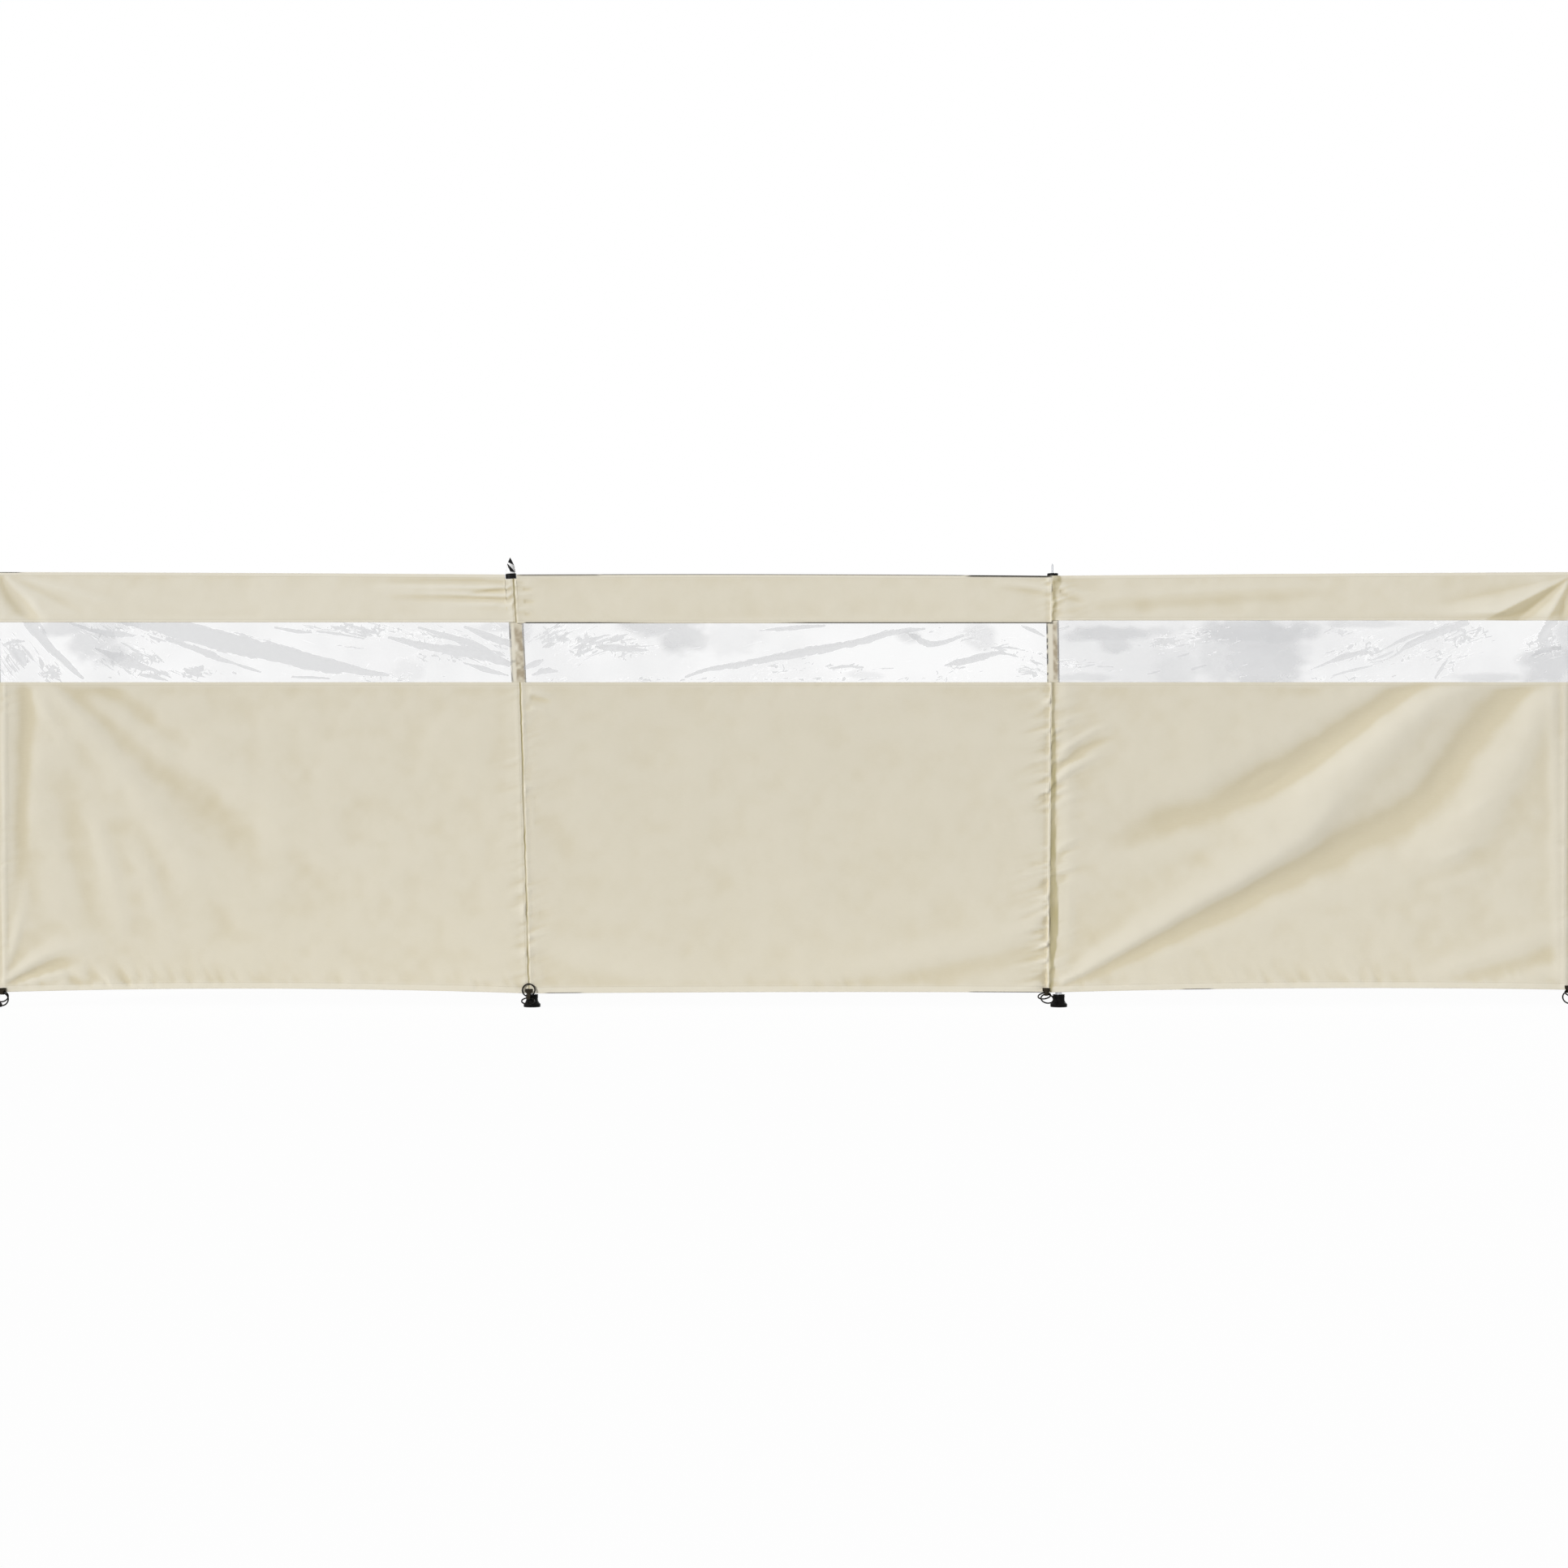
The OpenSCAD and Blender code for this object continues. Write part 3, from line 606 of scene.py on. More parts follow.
def cloth_material(name, valley_shade):
    """Woven cloth that reads from its vertices its folds, hems and threads, and the shade, highlights and
    dark lines painted on it.
    """
    m = Material(name)
    xyz = m.xyz()
    grain = m.noise(1.0, 3, 0.6, stretch=(60, 60, 420))
    dull = times_color(CLOTH_COLOR, (0.97, 0.965, 0.94))
    base = m.mix(m.step(m.noise(2.2, 3, 0.55), 0.35, 0.7, 0.0, 0.35), CLOTH_COLOR, dull)
    base = m.mix(m.step(m.noise(15, 3, 0.6), 0.42, 0.66, 0.0, 0.45), base, dull)
    base = m.mix(m.field("tone"), base, times_color(CLOTH_COLOR, 0.838))
    # painted shade in the valleys of the folds and creases
    base = m.mix(m.times(m.field("valley_shade"), 0.75), base, valley_shade)
    # painted highlight on fold crests and on the sleeves' lit parts, with the upper bands' paler tone
    base = m.mix(m.times(m.field("highlight_and_pale"), 0.8), base, PALE_COLOR)
    base = m.mix(m.step(grain, 0.3, 0.75, 0.0, 0.10), base, PALE_COLOR)
    base = m.mix(m.times(m.field("band"), 0.35), base, PALE_COLOR)
    thread = reduce(m.larger, [stitches(m, m.field(edge), at, xyz[run]) for edge, at, run in STITCHES])
    base = m.mix(m.times(thread, 0.55), base, THREAD_COLOR)
    # painted warm shade, painted shade at the seams, and painted dark lines along edges
    for field, color in (("warm_shade", WARM_SHADE_COLOR), ("painted_shade", SEAM_SHADE_COLOR), ("dark_line", DARK_LINE_COLOR)):
        base = m.mix(m.field(field), base, color)
    height = m.plus(weave(m), m.times(thread, 1.5))
    m.set(color=base, rough=m.step(grain, 0.2, 0.8, 0.78, 0.9), sheen=0.12, sheen_rough=0.5,
          specular=0.25, normal=m.bump(height, 0.00022, 0.5))
    return m.material


def film_material():
    """Clear vinyl with sharp-edged grey streaks and slivers where it is creased, partly milky haze and partly
    painted reflection, with thin painted glints along their edges.
    """
    m = Material("clear_film")
    u, v = m.field("flow_u"), m.field("flow_v")

    def streaks(per_u, per_v, seed, detail=2.0, warp=0.0):
        place = m.add("ShaderNodeCombineXYZ", {"X": m.times(u, per_u), "Y": m.times(v, per_v), "Z": seed})
        return m.noise(1.0, detail, 0.55, warp, vector=place.outputs[0])

    ragged, fine = streaks(15, 80, 1.5), streaks(50, 230, 4.5)
    haze_and_reflection = m.plus(m.field("haze_and_reflection"), m.times(m.minus(ragged, 0.5), 0.95))
    haze_and_reflection = m.plus(haze_and_reflection, m.times(m.minus(fine, 0.5), 0.45))
    patch = m.step(haze_and_reflection, 0.50, 0.525)
    # painted glints: thin lines at the edges of the streaks and slivers where the film lets more of the white
    # behind it through
    rim = m.times(m.step(haze_and_reflection, 0.40, 0.44), m.step(haze_and_reflection, 0.46, 0.50, 1, 0))
    scraps = m.minus(m.noise(1.0, 2, 0.55, 1.2, stretch=(48, 48, 40)), 0.03)
    sliver = m.larger(streaks(20, 105, 7.5, 2.0, 0.6), scraps)
    sliver = m.plus(sliver, m.times(m.field("crumple"), 0.27))
    shards = m.step(sliver, 0.765, 0.785)
    glint = m.times(m.step(sliver, 0.70, 0.725), m.step(sliver, 0.745, 0.765, 1, 0))
    grey = m.larger(patch, shards)
    shine = m.times(m.larger(rim, glint), m.step(m.noise(9, 2), 0.40, 0.58))
    shine = m.times(shine, m.minus(1.0, grey))
    soft = m.step(m.noise(3.2, 3, 0.5), 0.35, 0.72, 0.04, 0.135)
    veil = m.plus(soft, m.times(m.field("veil"), 0.20))
    veil = m.plus(veil, m.times(m.field("cloud"), 0.26))
    veil = m.times(veil, m.minus(1.0, m.times(shine, 0.85)))
    room = m.minus(1.0, m.times(m.field("veil"), 0.45))
    alpha = m.larger(m.plus(veil, m.times(m.times(grey, 0.16), room)), m.times(grey, 0.33), clamp=True)
    m.set(color=FILM_COLOR, rough=0.12, alpha=alpha, specular=0.5,
          normal=m.bump(fine, 0.0005, 0.2))
    return m.material


def moulded(name, color, rough, grain, height, shine):
    """Moulded rubber or plastic: a little mottled, with a fine grain and dust."""
    m = Material(name)
    cloud = m.noise(45, 4, 0.6)
    fine = m.noise(grain, 3, 0.6)
    dusty = tuple(c * 1.8 + 0.002 for c in color) + (1,)
    base = m.mix(m.step(cloud, 0.45, 0.8, 0.0, 0.35), color + (1,), dusty)
    m.set(color=base, rough=m.step(cloud, 0.3, 0.8, rough - 0.06, rough + 0.12), specular=shine,
          normal=m.bump(fine, height, 0.6))
    return m.material


def steel(name, rough, streak):
    """Steel brushed along its length, with duller patches."""
    m = Material(name)
    brushed = m.noise(1.0, 4, 0.6, stretch=(900, 900, 25))
    cloud = m.noise(18, 3, 0.5)
    base = m.mix(m.step(cloud, 0.4, 0.75, 0.0, 0.6), (0.62, 0.63, 0.65, 1), (0.47, 0.475, 0.49, 1))
    m.set(color=base, metal=1.0, rough=m.step(brushed, 0.2, 0.8, rough - streak, rough + streak),
          normal=m.bump(brushed, 0.00004, 0.5))
    return m.material


# The cone's middle, and the heights of its black tip, its painted white highlight that swirls round it and
# its black rim, in metres
CONE_X, TIP_Z, SWIRL_Z, RIM_Z = 1.6595, 1.4215, 1.4065, 1.3955


def cone_material():
    """Glossy black, with a painted white highlight that swirls round its waist."""
    m = Material("cone_plastic")
    xyz = m.xyz()
    wobble = m.noise(60, 3, 0.5, 0.8)
    along_x = m.minus(xyz["X"], CONE_X)
    shake = m.times(m.minus(wobble, 0.5), 0.006)

    def lift(slope):
        return m.plus(m.plus(xyz["Z"], m.times(along_x, slope)), shake)

    tip = m.step(lift(0.55), TIP_Z, TIP_Z + 0.001)
    wide = m.step(xyz["Z"], 1.396, 1.424, 0.0095, 0.0030)
    highlight_swirl = m.math("LESS_THAN", m.math("ABSOLUTE", m.minus(lift(1.5), SWIRL_Z)), wide)
    highlight_swirl = m.times(highlight_swirl, m.step(lift(0.15), RIM_Z, RIM_Z + 0.001))
    painted_highlight = m.minus(1.0, m.larger(tip, highlight_swirl))
    base = m.mix(painted_highlight, (0.006, 0.006, 0.0065, 1), (0.84, 0.84, 0.84, 1))
    m.set(color=base, rough=m.step(wobble, 0.3, 0.7, 0.12, 0.22), specular=0.12,
          normal=m.bump(wobble, 0.0006, 0.4), coat=0.06, coat_rough=0.05)
    return m.material


def webbing_material():
    """Dark brown ribbed webbing."""
    m = Material("webbing")
    xyz = m.xyz()
    rib, twill = wave(m, xyz["Z"], 0.0016), wave(m, m.plus(xyz["X"], xyz["Z"]), 0.0013)
    cloud = m.noise(70, 3, 0.6)
    base = m.mix(m.step(cloud, 0.35, 0.75), (0.015, 0.011, 0.006, 1), (0.034, 0.026, 0.015, 1))
    base = m.mix(m.step(twill, 0.3, 0.9, 0.0, 0.3), base, (0.060, 0.048, 0.030, 1))
    m.set(color=base, rough=0.8, sheen=0.05, specular=0.15,
          normal=m.bump(m.plus(rib, twill), 0.00015, 0.7))
    return m.material


MATERIALS = {
    "cloth": cloth_material("cloth", FOLD_SHADE_COLOR),
    "sleeve_cloth": cloth_material("sleeve_cloth", SLEEVE_SHADE),
    "clear_film": film_material(),
    "steel_tube": steel("steel_tube", 0.34, 0.10),
    "bright_steel": steel("bright_steel", 0.20, 0.06),
    "rubber": moulded("rubber", (0.0045, 0.0042, 0.0040), 0.50, 900, 0.00012, 0.06),
    "ring_rubber": moulded("ring_rubber", (0.0055, 0.0042, 0.0038), 0.40, 1200, 0.0001, 0.07),
    "black_plastic": moulded("black_plastic", (0.005, 0.0048, 0.0045), 0.34, 1500, 0.00006, 0.12),
    "cone_plastic": cone_material(),
    "webbing": webbing_material(),
}
KEPT = {"post": "steel_tube", "foot": "rubber", "collar": "black_plastic", "spike": "bright_steel",
        "point_cone": "cone_plastic", "peg_rings": "ring_rubber"}

for node_name, node in NODES.items():
    kind = node_name.rsplit("_", 1)[0]
    if kind in KEPT:
        for material_slot in node.material_slots:
            material_slot.link = "OBJECT"
            material_slot.material = MATERIALS[KEPT[kind]]


# ---------------- cloth panels
def blurred(values, times):
    """Values that were averaged with their four neighbours so many times."""
    for _ in range(times):
        padded = np.pad(values, 1, mode="edge")
        values = (padded[:-2, 1:-1] + padded[2:, 1:-1] + padded[1:-1, :-2] + padded[1:-1, 2:]) / 4
    return values


def shade_fields(relief):
    """Where to paint shade in a relief's valleys and a highlight on its crests, from how far it lies under or
    over its surroundings.
    """
    near = relief - blurred(relief, 40)
    far = relief - blurred(relief, 280)
    return (np.clip(-near / 2.2, 0, 1) + np.clip(-far / 9.0, 0, 0.6),
            np.clip(near / 3.0, 0, 1) + np.clip(far / 14.0, 0, 0.5))


def turned_away(relief, x, z):
    """How far the faces of a relief turn away from the low light at the left."""
    rise_x = np.gradient(relief, axis=0) / np.gradient(x, axis=0)
    rise_z = np.gradient(relief, axis=1) / np.gradient(z, axis=1)
    return np.clip((0.35 * rise_z - 0.62 * rise_x) / 0.28, 0, 1)


UPPER_WARM_SHADE = [0.60, 0.30, 0.65]  # how strongly each upper band is painted a warm shade where it turns away from the light
UPPER_PALE = [0.45, 0.16, 0.14]  # how much paler each upper band is
LOWER_TONE = [0.07, 0.21, 0.17]  # how much darker each lower panel is
SIDE_MARKS = [1.5, 3, 5, 7.5, 10.5, 14, 18, 22, SIDE_HEM_W - 0.4, SIDE_HEM_W + 0.4, 31, 36, 41, 46, 52]
LOW_MARKS = [1.2, 3, 4.4, 8, 12, 16]


def mask(x, start, end, soft):
    """1 between two places along the cloth, with soft ends."""
    return smooth(start, start + soft, x) * (1 - smooth(end - soft, end, x))


def panel(name, b, low_z, high_z, cell, laps, dark_line, notched=False):
    """A cloth panel of bay b between two heights given as functions of the share along it. The
    laps are the heights of its two hems."""
    length = FOOT_X[b + 1] - FOOT_X[b]
    head = [float(seam_x(b, POST_L)), float(seam_x(b + 1, POST_L))]
    marks = SIDE_MARKS + [length - m for m in SIDE_MARKS]
    for i in (b, b + 1) if notched else ():
        for side in (-1, 1):
            edge = (post_x(i, POST_L) + side * COLLAR_HALF - head[0]) / (head[1] - head[0]) * length
            marks += [edge - 0.3, edge + 0.3]
    columns = grid_lines(length, cell[0], marks) / length
    tall = float(np.max(high_z(columns) - low_z(columns)))
    bottom, top = laps
    marks = LOW_MARKS + [bottom - 0.4, bottom + 0.4, tall - top - 0.4, tall - top + 0.4, tall - 3, tall - 1.2]
    rows = grid_lines(tall, cell[1], marks) / tall
    u, v = np.meshgrid(columns, rows, indexing="ij")
    high = np.minimum(high_z(u), notch_z(mix(head[0], head[1], u))) if notched else high_z(u)
    z = mix(low_z(u), high, v)
    x = mix(seam_x(b, z), seam_x(b + 1, z), u)
    left, right = x - seam_x(b, z), seam_x(b + 1, z) - x
    under, over = z - low_z(u), high_z(u) - z
    relief = cloth_relief(x, z, b)
    doubled = (left < SIDE_HEM_W) | (right < SIDE_HEM_W) | (under < bottom) | (over < top)
    # edges are rounded over
    rim = np.minimum(np.minimum(left, right), np.minimum(under, high - z))
    round_off = ROUNDED * (1 - smooth(0, 2.0, rim))
    front = CLOTH_Y - relief + round_off
    back = front + np.where(doubled, HEM_T, CLOTH_T) - 2 * round_off
    obj = closed_sheet(name, np.stack([x, front, z], -1), np.stack([x, back, z], -1), "cloth")
    # painted shade in the relief's valleys, painted highlight on its crests
    valley_shade, highlight_and_pale = shade_fields(relief)
    lower = z < WINDOW_Z0 + 20
    over_hem, under_top = z - hem_z(b, u), top_z(b, u) - z
    paint(obj, z.shape, {
        "valley_shade": np.clip(0.9 * valley_shade, 0, 1), "highlight_and_pale": 0.35 * highlight_and_pale + np.where(lower, 0, UPPER_PALE[b]),
        "painted_shade": seam_shade(x, z, b), "tone": np.where(lower, LOWER_TONE[b], 0.0),
        "warm_shade": np.where(lower, 0.0, UPPER_WARM_SHADE[b] * turned_away(relief, x, z)),
        "hem": np.where(lower, over_hem, NO_EDGE), "top": np.where(lower, NO_EDGE, under_top),
        "seam": np.minimum(left, right), "sill": np.where(lower, WINDOW_Z0 - z, z - WINDOW_Z1[b]),
        "band": np.where(lower, 1 - smooth(HEM_H - 2, HEM_H, over_hem), 1 - smooth(10, 12, under_top)),
        "dark_line": dark_line(x, z, u, b),
    })
    return obj


# The parts of each bay's bottom and top edges that are painted with a dark shadow line, as (start, end,
# width)
LOWER_EDGE_LINES = [[], [(1760, 1900, 1.2), (3120, 3380, 1.2)], [(3800, 3920, 1.2)]]
UPPER_EDGE_LINES = [[(-40, 105, 1.6)], [(1670, 1960, 2.2), (3110, 3410, 3.2), (1930, 3130, 1.0)],
             [(3410, 3430, 2.0)]]


def edge_line(x, under, runs, soft):
    """A painted dark shadow line along parts of an edge that points lie this far from."""
    out = np.zeros(x.shape)
    for start, end, w in runs:
        out = np.maximum(out, mask(x, start, end, soft) * (1 - smooth(w, w + 1.4, under)))
    return out


def lower_edge_line(x, z, t, b):
    return edge_line(x, z - hem_z(b, t), LOWER_EDGE_LINES[b], 25)


def upper_edge_line(x, z, t, b):
    """The painted dark shadow line along the top edge and along the middle window's upper edge."""
    out = edge_line(x, top_z(b, t) - z, UPPER_EDGE_LINES[b], 30)
    if b == 1:
        line = 1 - smooth(3.2, 4.4, z - WINDOW_Z1[b])
        strong = 1 - 0.9 * smooth(1900, 2150, x) + 0.8 * smooth(2480, 2640, x)
        out = np.maximum(out, line * strong * smooth(1700, 1712, x))
    return out


for b in range(3):
    lower = panel(f"lower_panel_cloth_{b + 1}", b, lambda t: hem_z(b, t), lambda t: WINDOW_Z0 + 0 * t,
                  LOWER_CELL, (HEM_H, FILM_LAP), lower_edge_line)
    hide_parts(f"lower_panel_{b + 1}")
    upper = panel(f"upper_band_cloth_{b + 1}", b, lambda t: WINDOW_Z1[b] + 0 * t, lambda t: top_z(b, t),
                  UPPER_CELL, (FILM_LAP, TOP_HEM_H), upper_edge_line, notched=True)
    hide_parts(f"upper_band_{b + 1}")


# ---------------- windows
# Grey streaks as [x, z, half width over, half width under], with one written where both are the same
PATCHES = [
    [[[128, 1234, 20, 22], [166, 1172, 14, 10], [208, 1128, 11, 8], [252, 1086, 9, 7], [290, 1054, 4]],
     [[250, 1232, 2, 3], [330, 1204, 7, 6], [400, 1196, 8, 7], [462, 1190, 2]],
     [[330, 1150, 2], [392, 1124, 10, 9], [450, 1098, 12, 10], [528, 1078, 3]],
     [[400, 1240, 8], [480, 1232, 16, 18], [585, 1213, 26, 27], [748, 1172, 28], [900, 1136, 28, 27],
      [1000, 1112, 24, 23], [1075, 1094, 19], [1160, 1078, 12, 11], [1270, 1064, 3]],
     [[563, 1180, 4, 7], [640, 1151, 8], [728, 1119, 6, 7], [786, 1098, 2]],
     [[784, 1098, 2], [820, 1086, 4], [860, 1074, 1, 2]],
     [[512, 1142, 1], [534, 1119, 2], [557, 1097, 1]],
     [[470, 1064, 2], [510, 1058, 8, 6], [548, 1050, 2]],
     [[905, 1216, 2], [970, 1205, 5], [1024, 1199, 2]],
     [[1040, 1204, 2], [1120, 1194, 4], [1190, 1180, 2]],
     [[1150, 1222, 2], [1200, 1206, 5], [1236, 1196, 2]],
     [[1100, 1160, 1], [1150, 1153, 2], [1196, 1147, 1]],
     [[1270, 1184, 4], [1350, 1167, 8, 10], [1430, 1151, 10, 14], [1500, 1140, 16, 17], [1570, 1127, 12, 14],
      [1655, 1096, 7]],
     [[1366, 1217, 3], [1480, 1183, 8, 9], [1540, 1163, 9], [1612, 1125, 6], [1660, 1102, 4]],
     [[1516, 1218, 4, 5], [1572, 1193, 9], [1620, 1176, 10], [1660, 1164, 8]],
     [[1510, 1103, 2, 3], [1566, 1085, 7, 6], [1608, 1074, 6, 5], [1652, 1062, 2]],
     [[960, 1058, 1, 2], [1020, 1056, 3], [1080, 1054, 1, 2]],
     [[66, 1150, 3], [88, 1126, 14, 12], [104, 1100, 6]],
     [[40, 1156, 2], [70, 1170, 6, 4], [104, 1172, 2]],
     [[150, 1120, 2], [160, 1100, 5], [162, 1086, 2]],
     [[158, 1066, 2], [190, 1072, 6, 5], [214, 1058, 2]]],
    [[[2221, 1058, 2], [2289, 1080, 6, 5], [2369, 1092, 8, 7], [2431, 1104, 8, 7], [2521, 1122, 10, 9],
      [2579, 1131, 12, 10], [2637, 1144, 11, 10], [2713, 1157, 10], [2801, 1176, 9], [2871, 1196, 9, 8],
      [2929, 1206, 7], [2987, 1212, 2]],
     [[1932, 1154, 3], [1975, 1152, 8], [2029, 1148, 8, 9], [2108, 1142, 1]],
     [[1960, 1172, 1], [2000, 1184, 4], [2040, 1196, 1]],
     [[1708, 1088, 6, 7], [1740, 1100, 8], [1764, 1112, 2]],
     [[1730, 1064, 2], [1774, 1078, 9, 8], [1812, 1076, 1]],
     [[2454, 1206, 1, 2], [2515, 1212, 4, 5], [2580, 1216, 6], [2667, 1222, 3]],
     [[2926, 1200, 2], [2964, 1180, 9, 7], [3004, 1162, 8, 7], [3046, 1168, 6], [3110, 1190, 2]],
     [[3050, 1094, 2], [3104, 1106, 9, 8], [3151, 1116, 10, 9], [3203, 1130, 7, 6], [3240, 1138, 2]],
     [[3200, 1136, 3], [3250, 1132, 3], [3300, 1118, 1]],
     [[3215, 1150, 1], [3262, 1152, 2, 3], [3318, 1140, 1]],
     [[2684, 1086, 1, 2], [2735, 1092, 4], [2789, 1089, 1, 2]],
     [[2818, 1082, 1], [2862, 1085, 2], [2902, 1086, 1]],
     [[3297, 1222, 2, 3], [3330, 1208, 5], [3372, 1188, 2, 3]]],
    [[[4216, 1078, 1], [4295, 1110, 5], [4345, 1126, 8], [4400, 1138, 2]],
     [[4290, 1062, 2], [4351, 1078, 4], [4417, 1094, 2], [4495, 1128, 3], [4530, 1156, 7],
      [4574, 1178, 11, 10], [4644, 1206, 11, 10], [4720, 1232, 8]],
     [[4460, 1148, 2], [4517, 1176, 5], [4572, 1196, 5], [4620, 1208, 1]],
     [[4622, 1054, 3], [4642, 1086, 5], [4664, 1120, 1]],
     [[4962, 1186, 10, 12], [4980, 1212, 14], [5000, 1236, 14]],
     [[4930, 1126, 2], [4968, 1144, 8], [5010, 1150, 4]],
     [[3700, 1066, 1], [3722, 1072, 3], [3742, 1078, 1]],
     [[3840, 1080, 1], [3866, 1090, 3], [3890, 1096, 1]],
     [[3726, 1166, 2], [3766, 1170, 4], [3820, 1178, 1]],
     [[3796, 1122, 1], [3820, 1128, 2, 3], [3836, 1136, 1]],
     [[3428, 1090, 1], [3470, 1098, 2], [3520, 1094, 1], [3590, 1090, 1]]],
]
# Areas of each window that are finely creased, and others that are softly milky, as
# (x, z, width, height, strength)
CRUMPLES = [
    [(80, 1130, 60, 60, 1.05), (180, 1068, 60, 28, 1.0), (430, 1112, 100, 50, 1.05),
     (600, 1072, 150, 24, 0.9), (380, 1204, 70, 24, 0.9), (520, 1180, 50, 24, 0.7), (1040, 1208, 90, 16, 0.9),
     (1210, 1206, 110, 26, 1.05), (1420, 1190, 120, 26, 0.75), (1470, 1120, 150, 26, 0.7),
     (1610, 1150, 60, 60, 0.7), (1250, 1058, 90, 14, 0.8)],
    [(1800, 1188, 80, 44, 1.05), (1885, 1160, 60, 50, 1.05), (1990, 1160, 90, 40, 0.9),
     (2060, 1150, 70, 26, 0.7), (2520, 1090, 120, 26, 0.6), (2740, 1086, 90, 16, 0.8),
     (3110, 1190, 80, 30, 0.5), (3090, 1094, 60, 20, 0.8), (3250, 1150, 70, 30, 0.85),
     (3330, 1090, 50, 50, 0.85), (2450, 1052, 900, 9, 0.6)],
    [(3760, 1168, 80, 26, 0.85), (3480, 1100, 90, 20, 0.7), (4400, 1140, 110, 40, 0.85),
     (4700, 1190, 110, 36, 0.9), (4640, 1130, 150, 40, 0.6), (4970, 1160, 50, 34, 1.25),
     (3440, 1215, 50, 24, 0.8), (3860, 1195, 60, 20, 0.7), (4300, 1200, 90, 24, 0.6),
     (4350, 1055, 300, 10, 0.6)],
]
CLOUDS = [
    [(316, 1160, 74, 60, 0.8), (226, 1212, 74, 30, 0.85), (380, 1130, 60, 36, 0.7), (400, 1226, 80, 20, 0.6),
     (1330, 1080, 40, 30, 0.3), (1600, 1216, 70, 14, 0.5)],
    [(2140, 1224, 130, 34, 1.0), (2212, 1190, 70, 50, 0.95), (2390, 1190, 100, 60, 0.4),
     (1700, 1200, 30, 40, 0.6), (2940, 1190, 34, 22, 0.8), (3165, 1182, 50, 40, 0.6),
     (2800, 1064, 60, 14, 0.45)],
    [(3590, 1200, 150, 24, 0.85), (3590, 1166, 46, 34, 0.65), (3470, 1186, 60, 16, 0.5),
     (3960, 1110, 90, 90, 0.5), (4080, 1110, 130, 100, 0.75), (4060, 1196, 190, 40, 0.95),
     (4200, 1200, 70, 30, 0.8), (4400, 1228, 130, 12, 0.6), (4800, 1056, 110, 16, 0.55),
     (4996, 1092, 84, 68, 0.9), (5034, 1200, 30, 46, 0.6), (3790, 1090, 90, 50, 0.3),
     (3500, 1056, 90, 12, 0.5)],
]
VEIL = [0.15, 0.10, 0.62]  # how milky each window is all over
# (x, slope) of the creases along each window
FLOWS = [
    [(30, -1.3), (150, -1.2), (300, -0.7), (450, -0.45), (700, -0.27), (1250, -0.22), (1450, -0.3),
     (1700, -0.45)],
    [(1700, 0.6), (1900, 0.5), (2050, 0.0), (2250, 0.2), (2700, 0.24), (3050, 0.3), (3200, 0.2),
     (3380, -0.4)],
    [(3400, 0.12), (3900, 0.2), (4300, 0.38), (4750, 0.42), (5050, 0.2)],
]


def flow_height(x, z, b):
    """The height of each point over the line that runs with the window's creases."""
    at, slope = np.array(FLOWS[b], float).T
    places = np.linspace(x.min(), x.max(), 600)
    slopes = np.interp(places, at, slope)
    rise = np.concatenate([[0.0], np.cumsum((slopes[1:] + slopes[:-1]) / 2 * np.diff(places))])
    return z - np.interp(x, places, rise)


def spread(x, z, areas, soft=0.75):
    """The strongest of round areas with uneven edges, at each point."""
    out = np.zeros(x.shape)
    uneven = 0.30 * noise(x, z, 60, 36, 641) + 0.16 * noise(x, z, 24, 16, 642)
    for cx, cz, w, h, s in areas:
        far = np.hypot((x - cx) / w, (z - cz) / h) + uneven
        out = np.maximum(out, s * (1 - smooth(1 - soft, 1 + soft, far)))
    return out


def streaks(x, z, b):
    """For each grey streak of a window, how far points are from its middle, and half its width."""
    for line in PATCHES[b]:
        d, value = along(x, z, line, 4)
        yield np.abs(d), np.where(d >= 0, value[..., 0], value[..., 1])


def window_relief(x, z, b):
    """Creases of the film, which stand to the front and die out at its sewn edges."""
    flow = flow_height(x, z, b)
    out = 1.3 * noise(x, flow, 190, 60, 601 + b) + 0.7 * noise(x, flow, 90, 22, 611 + b)
    for off, half in streaks(x, z, b):
        out += 1.5 * bump(off, half, 6.0) - 0.8 * np.exp(-(off / (half + 1)) ** 2)
    ridges = 0.4 - np.abs(noise(x, flow, 46, 13, 621 + b))
    cross = 0.4 - np.abs(noise(x - 0.5 * z, z + 0.3 * x, 24, 15, 631 + b))
    return out + spread(x, z, CRUMPLES[b]) * (3.2 * ridges + 2.0 * cross)


